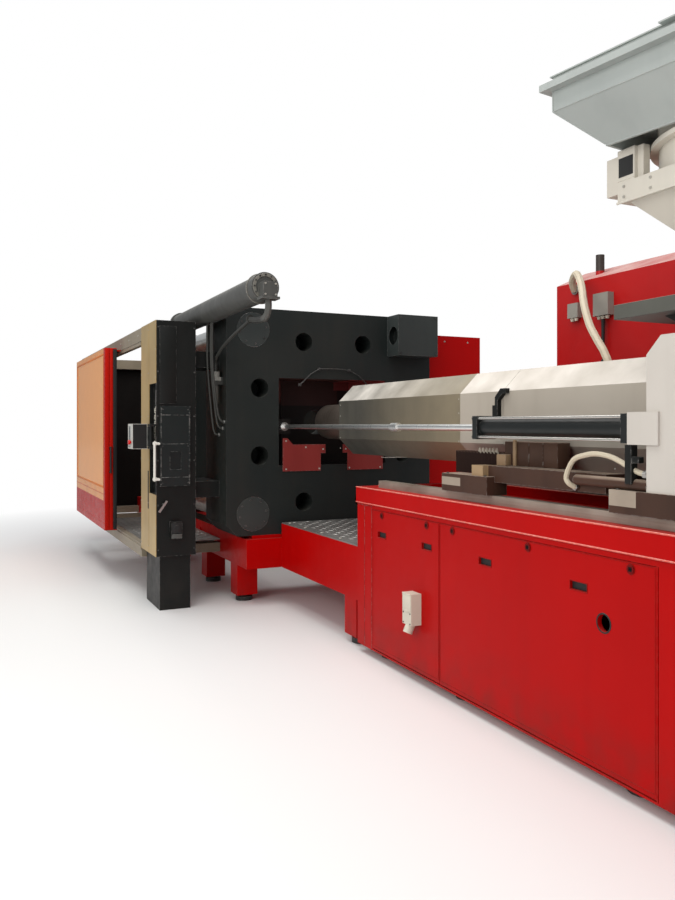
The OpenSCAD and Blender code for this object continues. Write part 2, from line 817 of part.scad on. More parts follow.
// Hoses run through hand-set points, with a short straight piece square to each seat
cabinet_hose_x = cabinet_x0 + 230;
cabinet_hose_z = cabinet_z - 60;
duct_y = cabinet_y0 - 350;
duct_z = 520;
cabinet_hose_points = [[cabinet_hose_x, cabinet_y0 - 25, cabinet_hose_z],
    [cabinet_x0 + 260, cabinet_y0 - 70, cabinet_z], [cabinet_x0 + 349, cabinet_y0 - 110, cabinet_z + 38],
    [cabinet_x0 + 450, cabinet_y0 - 165, cabinet_z - 30],
        [cabinet_x0 + 536, cabinet_y0 - 220, cabinet_z - 124],
    [cabinet_x0 + 644, cabinet_y0 - 300, cabinet_z - 255],
        [cabinet_x0 + 776, cabinet_y0 - 370, cabinet_z - 420],
    [cabinet_x0 + 893, cabinet_y0 - 410, cabinet_z - 539],
        [cabinet_x0 + 1019, cabinet_y0 - 440, cabinet_z - 682],
    [cabinet_x0 + 1150, cabinet_y0 - 450, 1800], [cabinet_x0 + 1250, cabinet_y0 - 430, 1400],
    [cabinet_x0 + 1330, cabinet_y0 - 390, 1000], [duct_x, duct_y, 700], [duct_x, duct_y, duct_z + 40]];
port_x = traverse_out + port_side / 2 + 8;
port_z = axis_z + traverse_rise - port_drop - port_side / 2 - port_flange_t - run_gap;
elbow_points = [[port_x, -traverse_y, port_z - 20], [port_x, -traverse_y, port_z - 60],
    [port_x - 33, -traverse_y, port_z - 110], [port_x - 118, -traverse_y, port_z - 130],
    [port_x - 268, -traverse_y, port_z - 118], [port_x - 408, -traverse_y, port_z - 95]];
valve_x = -125;
valve_y = -platen_w / 2 - 55;
valve_z = 2160;
riser_points = [[port_x - 403, -traverse_y, port_z - 96], [port_x - 508, -traverse_y, port_z - 120],
    [620, -traverse_y - 5, 2420], [300, -traverse_y, 2350], [60, -traverse_y + 20, 2290],
    [valve_x + 55, valve_y - 15, 2270], [valve_x + 3, valve_y - 3, valve_z + 60],
        [valve_x, valve_y, valve_z - 2]];
side_y = -platen_w / 2 - run_gap;
under_z = axis_z + traverse_rise - traverse_d / 2 - run_gap;
thin_hose_x = [-30, -75, -190];

module hydraulic_hoses() {
    at_machine() {
        color("wheat")
            hose(concat([[cabinet_hose_x, cabinet_y0 - run_gap, cabinet_hose_z]],
                smooth(cabinet_hose_points, 3), [[duct_x, duct_y, duct_z + run_gap]]), 56, [1, 0, 0]);
        color("slategray") {
            hose(concat([[port_x, -traverse_y, port_z]], smooth(elbow_points, 3)), 54, [0, 1, 0]);
            bar_x(port_x - 418, port_x - 393, -traverse_y, port_z - 95, 66);
            hose(smooth(riser_points, 3), 28, [0, 1, 0]);
            bar_z(valve_x, valve_y, valve_z - 130, valve_z, 64);
            bar_z(valve_x, valve_y, valve_z - 290, valve_z - 130, 44);
            block([valve_x - 40, valve_y, valve_z - 120], [valve_x + 40, -platen_w / 2, valve_z - 50]);
            for (k = [0:2])
                let (x = thin_hose_x[k], z = 1700 - 60 * k)
                    hose(concat([[x, -traverse_y, under_z]],
                        smooth([[x, -traverse_y, under_z - 20], [x + 5, -traverse_y - 2, 2300],
                            [x, -traverse_y + 15, 2050], [x - 10, side_y - 60, z + 60],
                                [x - 10, side_y - 20, z]], 3),
                        [[x - 10, side_y, z]]), 20, [1, 0, 0]);
        }
    }
}

module nozzle_guard() {
    y = 530;
    z0 = 1235;
    z1 = 1485;
    at_machine()
        color("indianred")
            along_x(run_gap, 12)
                for (side = [-1, 1])
                    scale([side, 1])
                        polygon([[95, z1], [95, z1 - 83], [144, z1 - 83], [144, z0], [y, z0], [y, z1 + 60],
                            [y - 45, z1 + 60], [y - 100, z1]]);
}

module grip_slot(x) {
    block([x - 58, -base_y - cut, grip_z - 20], [x + 58, -base_y + 15, grip_z + 20]);
}

cover_d = panel_t - run_gap;
cover_hinge_y = -base_y + cover_d / 2;
cover_hinge_z = base_z0 + 12 + cover_d / 2;

// Cover panel with its rolled lower edge, on which it tilts out
module cover_plate(x0, x1) {
    bar_x(x0, x1, cover_hinge_y, cover_hinge_z, cover_d);
    block([x0, -base_y, cover_hinge_z], [x1, -base_y + cover_d, cover_z1 - 3]);
}

module cover_left() {
    x0 = left_cover_x0 + run_gap * 5;
    x1 = left_cover_x0 + left_cover_w - run_gap * 5;
    at_machine()
        color("red")
            difference() {
                cover_plate(x0, x1);
                for (x = [x0 + latch_inset, x1 - latch_inset]) {
                    grip_slot(x);
                    bar_y(x, -base_y - cut, -base_y + panel_t + cut, latch_z, latch_d);
                }
            }
}

module service_socket() {
    x0 = left_cover_x0 + 560;
    at_machine()
        color("white") {
            block([x0, -base_y - 75, 390], [x0 + 110, -base_y, 590]);
            translate([x0 + 55, -base_y - 45, 390])
                rotate([-25, 0, 0])
                    translate([0, 0, -60])
                        difference() {
                            cylinder(d = 62, h = 80);
                            translate([0, 0, -cut])
                                cylinder(d = 52, h = 50);
                        }
        }
}

module cover_middle() {
    x0 = middle_cover_x0;
    x1 = middle_cover_x0 + middle_cover_w - run_gap * 5;
    mid = (x0 + x1) / 2;
    at_machine()
        color("red")
            difference() {
                cover_plate(x0, x1);
                for (x = [x0 + latch_inset, mid, x1 - latch_inset])
                    bar_y(x, -base_y - cut, -base_y + panel_t + cut, latch_z, latch_d);
                for (x = [mid - 375, mid + 375])
                    grip_slot(x);
                bar_y(mid + 540, -base_y - cut, -base_y + panel_t + cut, 761, 80);
            }
}

// Quarter-turn latch in its hole, with a slotted head and a cam that turns up behind the base's front wall
module latch(x) {
    r = latch_d / 2 - run_gap;
    at_machine()
        color("black")
            difference() {
                union() {
                    bar_y(x, -base_y - 3, -base_y + panel_t + 6, latch_z, 2 * r);
                    bar_y(x, -base_y - 6, -base_y - run_gap, latch_z, latch_d + 8);
                    block([x - 8, -base_y + panel_t, latch_z - 8],
                        [x + 48, -base_y + panel_t + 6, latch_z + 8]);
                }
                block([x - 12, -base_y - 6 - cut, latch_z - 2], [x + 12, -base_y - 3, latch_z + 2]);
            }
}

left_x0 = left_cover_x0 + run_gap * 5;
left_x1 = left_cover_x0 + left_cover_w - run_gap * 5;
middle_x1 = middle_cover_x0 + middle_cover_w - run_gap * 5;

module latch_1() {
    latch(left_x0 + latch_inset);
}

module latch_2() {
    latch(left_x1 - latch_inset);
}

module latch_3() {
    latch(middle_cover_x0 + latch_inset);
}

module latch_4() {
    latch((middle_cover_x0 + middle_x1) / 2);
}

module latch_5() {
    latch(middle_x1 - latch_inset);
}

module hmi_arm() {
    at_machine()
        color("dimgray") {
            bar_z(hinge_x, hinge_y, hmi_z + hmi_lug_t + run_gap, hmi_z + hmi_h - hmi_lug_t - run_gap, 50);
            block([hmi_x1 - 90, hinge_y - 28, hmi_z + hmi_lug_t + 5],
                [hinge_x, hinge_y, hmi_z + hmi_h - hmi_lug_t - 5]);
        }
}

module hmi_panel() {
    at_machine()
        color("gainsboro")
            difference() {
                block([hmi_x1 - hmi_w, -hmi_y - hmi_depth, hmi_z], [hmi_x1, -hmi_y, hmi_z + hmi_h]);
                block([hmi_x1 - hmi_w + 20, -hmi_y - hmi_depth - cut, hmi_z + 60],
                    [hmi_x1 - 100, -hmi_y - hmi_depth + 6, hmi_z + hmi_h - 20]);
                bar_y(hmi_x1 - 50, -hmi_y - hmi_depth - cut, -hmi_y - hmi_depth + 50, hmi_z + 60, 23);
            }
}

module emergency_button() {
    x = hmi_x1 - 50;
    y = -hmi_y - hmi_depth;
    at_machine()
        color("red") {
            bar_y(x, y - button_out, y - 12, hmi_z + 60, 40);
            bar_y(x, y - 12, y + 30, hmi_z + 60, 23 - 2 * run_gap);
        }
}

module moving_platen() {
    at_machine()
        color("darkslategray") {
            difference() {
                along_x(moving_back, mould_x1)
                    translate([0, axis_z])
                        cut_rect(platen_w, platen_h, platen_c);
                at_tie_bars()
                    bar_x(moving_back - cut, mould_x1 + cut, 0, 0, tie_d + 2 * tie_clear);
                mould_holes(mould_x1 - bolt_depth, mould_x1 + cut);
                for (y = [-1, 1])
                    for (z = [-1, 1])
                        bar_x(moving_back - cut, mould_x1 + cut, y * ejector_pitch / 2,
                            axis_z + z * ejector_pitch / 2, ejector_rod_d + 2 * run_gap);
                for (k = [0:3])
                    bar_x(moving_back - cut, moving_back + core_depth, core_ring_r * cos(90 * k),
                        axis_z + core_ring_r * sin(90 * k), 2 * core_d);
            }
            for (side = [-1, 1])
                translate([0, side * (bed_w / 2 - way_w / 2), 0])
                    block([moving_back - 150, -way_w / 2, bed_top + seat_t / 2 + run_gap],
                        [mould_x1 - 60, way_w / 2, platen_z0 - run_gap]);
            at_traverse()
                block([mould_x1 - 300, -180, -90], [mould_x1 - 200, 60, 90]);
        }
}

module lock_guides() {
    strip_t = 30;
    room = nut_d / 2 + nut_open + 70;
    at_machine()
        color("slategray")
            at_tie_bars()
                for (z = [-1, 1])
                    translate([0, 0, z * (lock_half + strip_t / 2)])
                        block([nut_x0, -room, -strip_t / 2], [moving_back, room, strip_t / 2]);
}

// Halves of the four split nuts on one side of their bars
module nut_halves(side) {
    half_h = lock_half - run_gap;
    at_machine()
        color("silver")
            at_tie_bars()
                translate([0, side * nut_open, 0])
                    difference() {
                        scale([1, side, 1])
                            block([nut_x0 + 5, 1, -half_h], [moving_back - run_gap, nut_d / 2, half_h]);
                        rotate([0, 90, 0])
                            tie_section(nut_x0 - 10, moving_back + 10, nut_x0 + groove_pitch / 2,
                                floor(nut_len / groove_pitch), 1.5);
                    }
}

module lock_nuts_near() {
    nut_halves(-1);
}

module lock_nuts_far() {
    nut_halves(1);
}

module traverse_rods() {
    rod_end = mould_x1 - 200;
    piston_x = open_travel - traverse_in + gland_t + 80;
    at_machine()
        color("gainsboro")
            at_traverse() {
                bar_x(rod_end, piston_x, 0, 0, traverse_rod_d);
                bar_x(piston_x - 60, piston_x, 0, 0, cylinder_bore_d - 2 * run_gap);
                bar_x(rod_end, rod_end + 50, 0, 0, traverse_rod_d + 50);
            }
}

crosshead_x1 = moving_back - ejector_travel - 20;
crosshead_t = 80;

module ejector_cylinder() {
    plate_x1 = crosshead_x1 - crosshead_t - 60;
    at_machine()
        color("slategray") {
            difference() {
                union() {
                    block([plate_x1 - 60, -330, axis_z - 330], [plate_x1, 330, axis_z + 330]);
                    bar_x(plate_x1 - 60 - ejector_travel - 150, plate_x1 - 60, 0, axis_z, 260);
                    for (y = [-1, 1])
                        for (z = [-1, 1])
                            bar_x(plate_x1, moving_back, y * 290, axis_z + z * 290, 60);
                }
                bar_x(plate_x1 - 60 - ejector_travel - 110, plate_x1 + cut, 0, axis_z, 120 + 2 * run_gap);
            }
        }
}

module ejector_crosshead() {
    at_machine()
        color("silver") {
            block([crosshead_x1 - crosshead_t, -250, axis_z - 250], [crosshead_x1, 250, axis_z + 250]);
            bar_x(crosshead_x1 - crosshead_t - 120 - ejector_travel - 80, crosshead_x1 - crosshead_t, 0, axis_z, 120);
            for (y = [-1, 1])
                for (z = [-1, 1])
                    bar_x(crosshead_x1, mould_x1 - 5, y * ejector_pitch / 2,
                        axis_z + z * ejector_pitch / 2, ejector_rod_d);
        }
}

// Sliding gate as a folded tray, open to the machine, with its window and its two hangers
module gate_leaf(x0) {
    x1 = x0 + gate_w;
    skin = 4;
    difference() {
        block([x0, gate_back_y, gate_z0], [x1, gate_face_y, gate_z1]);
        block([x0 + skin, gate_back_y - cut, gate_z0 + skin],
            [x1 - skin, gate_face_y - skin, gate_z1 - skin]);
        block([x0 + 70, gate_face_y - skin - cut, gate_z0 + gate_kick],
            [x1 - 90, gate_face_y + cut, gate_z1 - 60]);
    }
    for (x = [x0 + 150, x1 - 350])
        difference() {
            block([x, guard_y + run_gap * 3, gate_rail_z + run_gap],
                [x + 200, gate_back_y, gate_z1 - skin]);
            block([x + 20, guard_y + 20, gate_rail_z + 10],
                [x + 180, gate_back_y - 10, gate_z1 - skin + cut]);
        }
}

module gate_pane(x0) {
    skin = 4;
    block([x0 + 50, gate_face_y - skin - pane_t, gate_z0 + gate_kick - 20],
        [x0 + gate_w - 70, gate_face_y - skin, gate_z1 - 40]);
}

gate_x0 = column_x0 - gate_open - gate_w;
rear_gate_x0 = column_x0 - gate_w;

module front_gate() {
    at_machine()
        color("red")
            scale([1, -1, 1])
                gate_leaf(gate_x0);
}

module front_window() {
    at_machine()
        color("orange", 0.5)
            scale([1, -1, 1])
                gate_pane(gate_x0);
}

module gate_handle() {
    x = gate_x0 + gate_w;
    y = -gate_face_y + 55;
    z0 = 1160;
    z1 = 1440;
    grip_d = 20;
    at_machine()
        color("black") {
            bar_z(x + 45, y, z0, z1, grip_d);
            for (z = [z0 + grip_d / 2, z1 - grip_d / 2])
                bar_x(x, x + 45, y, z, grip_d);
        }
}

module rear_gate() {
    at_machine()
        color("red")
            gate_leaf(rear_gate_x0);
}

module rear_window() {
    at_machine()
        color("orange", 0.5)
            gate_pane(rear_gate_x0);
}

carriage_beam_y = 450;
carriage_beam_w = 130;

module carriage_frame() {
    beam_x0 = housing_x0 - 1260;
    beam_x1 = housing_x0 - 290;
    shoe_l = 465;
    fold = 34;
    at_machine()
        color("saddlebrown") {
            for (side = [-1, 1]) {
                translate([0, side * carriage_beam_y, 0])
                    block([beam_x0, -carriage_beam_w / 2, beam_z0],
                        [beam_x1, carriage_beam_w / 2, beam_z1]);
                for (x = [housing_x0 - 1620, housing_x0 - 213, housing_x1 - shoe_l])
                    block([x, side * rail_y - 70, shoe_z], [x + shoe_l, side * rail_y + 70, shoe_z1]);
                block([housing_x0 - 1330, side * rail_y - 50, shoe_z1],
                    [beam_x0 + 40, side * rail_y + 50, beam_z1]);
                bar_x(beam_x1 - 170, housing_x0, side * 538, shoe_z1 + 28, 52);
            }
            block([beam_x0, -385, beam_z0], [beam_x0 + 240, 385, guard_low_z]);
            block([housing_x1 - 240, 70 - rail_y, beam_z0 - 30], [housing_x1, rail_y - 70, shoe_z1]);
            for (k = [0:9])
                block([beam_x0 - fold * (k + 1), -180, beam_z0 + 10],
                    [beam_x0 - fold * k - 8, 180, guard_low_z - 10]);
            block([beam_x0 - 10 * fold, -160, beam_z0 + 20], [beam_x0, 160, guard_low_z - 20]);
        }
}

module barrel() {
    x0 = -80;
    band_w = 90;
    at_machine()
        color("slategray")
            difference() {
                union() {
                    bar_x(x0, housing_x0 + 400, 0, axis_z, barrel_d);
                    for (x = [guard_x0 + 60:160:housing_x0 - 200])
                        bar_x(x, x + band_w, 0, axis_z, barrel_d + 30);
                }
                bar_x(x0 + 60, housing_x0 + 400 + cut, 0, axis_z, bore_d);
                bar_x(x0 - cut, x0 + 60 + cut, 0, axis_z, 60);
                bar_z(hopper_x, 0, axis_z, axis_z + barrel_d, feed_d);
            }
}

module nozzle() {
    at_machine()
        color("silver")
            translate([-80, 0, axis_z])
                rotate([0, -90, 0])
                    rotate_extrude()
                        polygon([[8, 0], [60, 0], [60, 60], [42, 80], [42, 150], [20, 190], [8, 190]]);
}

module guard_section(x0, x1) {
    w = guard_w - 2 * guard_sheet;
    h = guard_h - 2 * guard_sheet;
    along_x(x0, x1)
        translate([0, guard_mid_z])
            difference() {
                cut_rect(guard_w, guard_h, guard_c);
                cut_rect(w, h, guard_c - guard_sheet * 0.586);
            }
}

module barrel_guard() {
    x0 = guard_x0 + nose_len;
    seam_x = x0 + 460;
    at_machine()
        color("lightgray") {
            guard_section(x0, seam_x - 3);
            guard_section(seam_x, housing_x0);
            along_x(seam_x - 60, seam_x + 60)
                translate([0, guard_mid_z])
                    difference() {
                        cut_rect(guard_w - 2 * guard_sheet, guard_h - 2 * guard_sheet, guard_c - 3);
                        cut_rect(guard_w - 4 * guard_sheet, guard_h - 4 * guard_sheet, guard_c - 6);
                    }
        }
}

module guard_nose() {
    at_machine()
        color("silver") {
            guard_section(guard_x0 + sheet_t, guard_x0 + nose_len);
            along_x(guard_x0, guard_x0 + sheet_t)
                translate([0, guard_mid_z])
                    difference() {
                        cut_rect(guard_w, guard_h, guard_c);
                        translate([0, axis_z - guard_mid_z])
                            circle(d = barrel_d + 40);
                    }
        }
}

module guard_latch() {
    x = guard_x0 + nose_len + 460;
    y = -guard_w / 2;
    at_machine()
        color("dimgray")
            along_y(y - 30, y)
                translate([x, axis_z])
                    polygon([[-70, 20], [-20, 20], [-20, 120], [30, 160], [60, 160], [60, 190],
                        [10, 190], [-45, 140], [-45, 90], [-70, 90]]);
}

module injection_housing() {
    pad = head_side / 2 + 5;
    cheek = 75;
    rod_y = 380;
    at_machine()
        color("beige")
            difference() {
                union() {
                    along_y(-housing_w / 2, housing_w / 2)
                        polygon([[housing_x0, housing_z0], [housing_x1, housing_z0],
                            [housing_x1, housing_z1 - 120], [housing_x1 - 150, housing_z1],
                            [housing_x0 + shoulder, housing_z1], [housing_x0, housing_z1 - shoulder]]);
                    for (side = [-1, 1])
                        block([housing_x0 - cyl_seat_t, side * rail_y - pad, carriage_z - pad],
                            [housing_x0 + cheek, side * rail_y + pad, carriage_z + pad]);
                }
                bar_x(housing_x0 - cut, housing_x0 + 400, 0, axis_z, barrel_d + 2 * run_gap);
                bar_x(housing_x0 + 400 - cut, housing_x1 + cut, 0, axis_z, bore_d + 30);
                for (side = [-1, 1])
                    bar_x(housing_x1 - injection_stroke - 200, housing_x1 + cut, side * rod_y, axis_z, 100 + 2 * run_gap);
                bar_z(hopper_x, 0, axis_z + barrel_d / 2 - 20, housing_z1 + cut, feed_d);
            }
}

module carriage_cylinders() {
    x0 = carriage_cyl_x0;
    x1 = x0 + carriage_cyl_len;
    head_t = 45;
    rod = head_side / 2 - 14;
    at_machine()
        color("black")
            for (side = [-1, 1])
                translate([0, side * rail_y, carriage_z])
                    difference() {
                        union() {
                            for (x = [x0, x1 - head_t])
                                block([x, -head_side / 2, -head_side / 2],
                                    [x + head_t, head_side / 2, head_side / 2]);
                            bar_x(x0, x1, 0, 0, carriage_cyl_d);
                            for (y = [-1, 1])
                                for (z = [-1, 1])
                                    bar_x(x0, x1, y * rod, z * rod, 16);
                        }
                        bar_x(x0 + head_t, x1 - head_t, 0, 0, carriage_cyl_d - 24);
                        bar_x(x0 - cut, x0 + head_t + cut, 0, 0, carriage_rod_d + 2 * run_gap);
                    }
}

// Hose from the near beam, in a loop over the drain tube, back to the face of the housing
hose_x0 = housing_x0 - 480;
hose_y0 = -carriage_beam_y - carriage_beam_w / 2 - run_gap;
carriage_hose_points = [[hose_x0, hose_y0 - 15, 1365], [hose_x0 - 15, -558, 1385],
    [hose_x0 - 26, -562, 1420], [hose_x0 + 23, -562, 1499], [hose_x0 + 100, -560, 1525],
    [hose_x0 + 180, -556, 1534], [hose_x0 + 280, -550, 1518], [hose_x0 + 404, -546, 1466],
    [housing_x0 - 15, -545, 1452]];

module carriage_hose() {
    at_machine()
        color("wheat")
            hose(concat([[hose_x0, hose_y0, 1365]], smooth(carriage_hose_points, 3),
                [[housing_x0 - run_gap, -545, 1452]]), 26, [0, 0, 1]);
}

// Square funnel between two heights, by its half widths
module funnel(z0, z1, r0, r1) {
    hull() {
        translate([-r0, -r0, z0])
            cube([2 * r0, 2 * r0, 0.01]);
        translate([-r1, -r1, z1 - 0.01])
            cube([2 * r1, 2 * r1, 0.01]);
    }
}

// Shelf on top of the housing, with its gussets and the feed neck
module throat_shelf() {
    x0 = housing_x0 - 355;
    x1 = housing_x0 + 560;
    neck_d = 230;
    web_x1 = housing_x0 + 420;
    web_y = 280;
    block([x0, -400, shelf_z - shelf_t], [x1, 400, shelf_z]);
    for (side = [-1, 1])
        along_y(side * web_y - 10, side * web_y + 10)
            polygon([[x0 + 210, shelf_z - shelf_t], [housing_x0 + shoulder, housing_z1],
                [web_x1, housing_z1], [web_x1, shelf_z - shelf_t]]);
    along_y(-neck_d / 2, neck_d / 2)
        polygon([[housing_x0 - 40, shelf_z - shelf_t], [housing_x0 + shoulder, housing_z1],
            [hopper_x + neck_d / 2, housing_z1], [hopper_x + neck_d / 2, shelf_z - shelf_t]]);
}

// Throat on its shelf: neck, square funnel and frame, round drum with its flange, and three boxes
module feed_throat() {
    at_machine()
        color("wheat")
            translate([hopper_x, 0, 0])
                difference() {
                    union() {
                        translate([-hopper_x, 0, 0])
                            throat_shelf();
                        block([-throat_w / 2, -throat_w / 2, shelf_z],
                            [throat_w / 2, throat_w / 2, throat_z]);
                        block([-throat_w / 2 - 50, -throat_w / 2 - 50, shelf_z],
                            [throat_w / 2 + 50, throat_w / 2 + 50, shelf_z + 20]);
                        funnel(throat_z, frame_z, throat_w / 2, frame_r - 40);
                        block([-frame_r, -frame_r, frame_z], [frame_r, frame_r, frame_z + 92]);
                        bar_z(0, 0, frame_z + 92, drum_z, 2 * frame_r);
                        bar_z(0, 0, drum_z, drum_z + 22, 2 * frame_r + 78);
                        bar_z(0, 0, drum_z + 22, sleeve_z1 - run_gap, 2 * frame_r + 10);
                        block([-frame_r, -frame_r, frame_z + 92],
                            [-frame_r + 105, -frame_r + 60, lip_z - 4]);
                        block([-frame_r + 105, -frame_r + 20, frame_z + 92],
                            [-frame_r + 140, -frame_r + 60, lip_z - 4]);
                        block([-frame_r - 90, -frame_r + 20, frame_z + 50],
                            [-frame_r, -frame_r + 120, frame_z + 230]);
                    }
                    bar_z(0, 0, housing_z1 - cut, throat_z + cut, feed_d);
                    bar_z(0, 0, throat_z, sleeve_z1 + cut, outlet_d);
                }
}

lid_back = 18;
lid_axis_z = hopper_z + run_gap + 5;
lid_pin_d = 8;
lug_x = 360;
lug_w = 30;

module hopper() {
    r = hopper_w / 2;
    at_machine()
        color("lightslategray")
            translate([hopper_x, 0, 0])
                rotate([0, 0, hopper_turn])
                    difference() {
                        union() {
                            block([-foot_r - 6, -foot_r - 6, lip_z], [foot_r + 6, foot_r + 6, lip_z + 8]);
                            funnel(lip_z, rim_z, foot_r, r);
                            block([-r, -r, rim_z], [r, r, hopper_z]);
                            block([-r - 45, -r - 45, hopper_z - 65], [r + 45, r + 45, hopper_z - 33]);
                            for (x = [-lug_x, lug_x])
                                block([x - lug_w / 2, r - cut, hopper_z - 34],
                                    [x + lug_w / 2, r + 30, hopper_z + 14]);
                        }
                        bar_x(-lug_x - lug_w, lug_x + lug_w, r + lid_back, lid_axis_z, lid_pin_d + 2 * run_gap);
                        funnel(sleeve_z1 + hopper_sheet, rim_z, outlet_d / 2 + 10, r - hopper_sheet);
                        block([hopper_sheet - r, hopper_sheet - r, rim_z - 0.01],
                            [r - hopper_sheet, r - hopper_sheet, hopper_z + cut]);
                        bar_z(0, 0, sleeve_z1 - cut, sleeve_z1 + 60, outlet_d);
                        block([hopper_sheet - foot_r, hopper_sheet - foot_r, lip_z - cut],
                            [foot_r - hopper_sheet, foot_r - hopper_sheet, sleeve_z1]);
                    }
}

module hopper_lid() {
    r = hopper_w / 2;
    lid_t = 6;
    tongue = lug_x - lug_w / 2 - 2;
    at_machine()
        color("lightslategray")
            translate([hopper_x, 0, 0])
                rotate([0, 0, hopper_turn]) {
                    translate([0, 0, hopper_z + run_gap]) {
                        block([-r - 10, -r - 10, 0], [r + 10, r - 4, lid_t]);
                        block([-60, -r - 40, 0], [60, -r - 10, lid_t]);
                        block([-tongue, r - 4 - cut, 0], [tongue, r + lid_back, lid_t]);
                    }
                    bar_x(-tongue, tongue, r + lid_back, lid_axis_z, 16);
                    bar_x(-lug_x - lug_w / 2, lug_x + lug_w / 2, r + lid_back, lid_axis_z, lid_pin_d);
                }
}

drive_x0 = housing_x1 + drive_gap;

module screw_drive() {
    drive_w = 960;
    rod_y = 380;
    at_machine()
        color("beige") {
            difference() {
                along_x(drive_x0, drive_x0 + drive_t)
                    translate([0, axis_z])
                        cut_rect(drive_w, 520, 80);
                bar_x(drive_x0 - cut, drive_x0 + drive_t + cut, 0, axis_z, screw_d + 2 * run_gap);
            }
            for (side = [-1, 1])
                bar_x(housing_x1 - injection_stroke - 150, drive_x0, side * rod_y, axis_z, 100);
        }
}

module screw_motor() {
    x0 = drive_x0 + drive_t;
    at_machine()
        color("dimgray") {
            bar_x(x0, x0 + 60, 0, axis_z, 420);
            bar_x(x0 + 60, x0 + 330, 0, axis_z, 340);
            block([x0 + 80, -60, axis_z + 150], [x0 + 260, 60, axis_z + 230]);
        }
}

module screw() {
    x0 = 0;
    root = screw_d / 2 - 25;
    length = drive_x0 + drive_t - x0;
    at_machine()
        color("silver")
            translate([x0, 0, axis_z])
                rotate([0, 90, 0])
                    rotate_extrude()
                        polygon(concat([[0, 0], [root - 15, 60]],
                            [for (k = [0:25])
                                let (x = 100 + screw_d * k)
                                for (p = [[root, x], [screw_d / 2, x + 8],
                                    [screw_d / 2, x + 24], [root, x + 32]]) p],
                            [[root, 4100], [screw_d / 2, 4120], [screw_d / 2, length], [0, length]]));
}

clamp_bed();
levelling_feet();
tread_plates();
fixed_platen();
tie_bars();
tie_bar_covers();
traverse_cylinders();
gate_frame();
operator_column();
column_facing();
column_panel();
connector_strip();
column_handle();
column_latch();
rear_column();
end_guard();
injection_base();
base_rails();
carriage_rods();
power_cabinet();
hydraulic_hoses();
nozzle_guard();
cover_left();
service_socket();
cover_middle();
latch_1();
latch_2();
latch_3();
latch_4();
latch_5();
hmi_arm();
hmi_panel();
emergency_button();
moving_platen();
lock_guides();
lock_nuts_near();
lock_nuts_far();
traverse_rods();
ejector_cylinder();
ejector_crosshead();
front_gate();
front_window();
gate_handle();
rear_gate();
rear_window();
carriage_frame();
barrel();
nozzle();
barrel_guard();
guard_nose();
guard_latch();
injection_housing();
carriage_cylinders();
carriage_hose();
feed_throat();
hopper();
hopper_lid();
screw_drive();
screw_motor();
screw();
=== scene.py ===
import math

import bmesh
import bpy
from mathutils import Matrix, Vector


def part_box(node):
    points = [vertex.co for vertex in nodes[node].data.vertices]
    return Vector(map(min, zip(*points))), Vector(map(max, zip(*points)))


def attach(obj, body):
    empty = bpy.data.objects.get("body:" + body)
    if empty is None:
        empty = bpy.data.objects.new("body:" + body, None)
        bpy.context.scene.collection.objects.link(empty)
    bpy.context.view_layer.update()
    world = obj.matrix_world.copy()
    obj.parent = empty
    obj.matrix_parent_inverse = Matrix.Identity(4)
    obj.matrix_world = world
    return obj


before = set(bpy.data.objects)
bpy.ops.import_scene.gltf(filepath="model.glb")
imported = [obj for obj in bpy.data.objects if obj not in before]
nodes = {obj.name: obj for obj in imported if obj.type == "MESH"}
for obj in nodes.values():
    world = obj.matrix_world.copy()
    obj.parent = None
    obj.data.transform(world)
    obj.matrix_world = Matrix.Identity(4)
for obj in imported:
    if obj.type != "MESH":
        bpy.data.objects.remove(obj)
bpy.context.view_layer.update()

# Measuring marks on the machine: the rear face of the fixed platen and its middle plane.
# Every piece is placed from them in metres, with heights from the floor.
platen_low, platen_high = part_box("fixed_platen")
rear_face = platen_high[0]
mid_plane = (platen_low[1] + platen_high[1]) / 2


def at(x, y, z):
    return Vector((rear_face + x, mid_plane + y, z))


# Camera at a standing person's eye, beside the injection end, looking along the machine
# towards the clamp. The long side of the picture is 36 mm of a 32 mm lens.
heading = math.radians(25.3)
camera_data = bpy.data.cameras.new("camera")
camera_data.lens = 32
camera_data.sensor_width = 36
camera_data.shift_y = -25 / 900
camera_data.clip_end = 200
camera = bpy.data.objects.new("camera", camera_data)
camera.location = at(7.0, -3.27, 1.67)
look = Vector((-math.cos(heading), math.sin(heading), 0))
camera.rotation_mode = "QUATERNION"
camera.rotation_quaternion = look.to_track_quat("-Z", "Y")
bpy.context.scene.collection.objects.link(camera)
bpy.context.scene.camera = camera
bpy.context.scene.view_settings.view_transform = "Standard"

# Hall light: an even white surround with broad soft lamps overhead and from the aisle.
# The surround shows white to the camera and through panes. It lights the machine more
# gently, and shows dimmer still in gloss.
def node(tree, kind, inputs=(), **settings):
    made = tree.nodes.new(kind)
    for key, value in settings.items():
        setattr(made, key, value)
    for key, value in inputs.items() if isinstance(inputs, dict) else enumerate(inputs):
        if isinstance(value, bpy.types.NodeSocket):
            tree.links.new(value, made.inputs[key])
        else:
            made.inputs[key].default_value = value
    return made


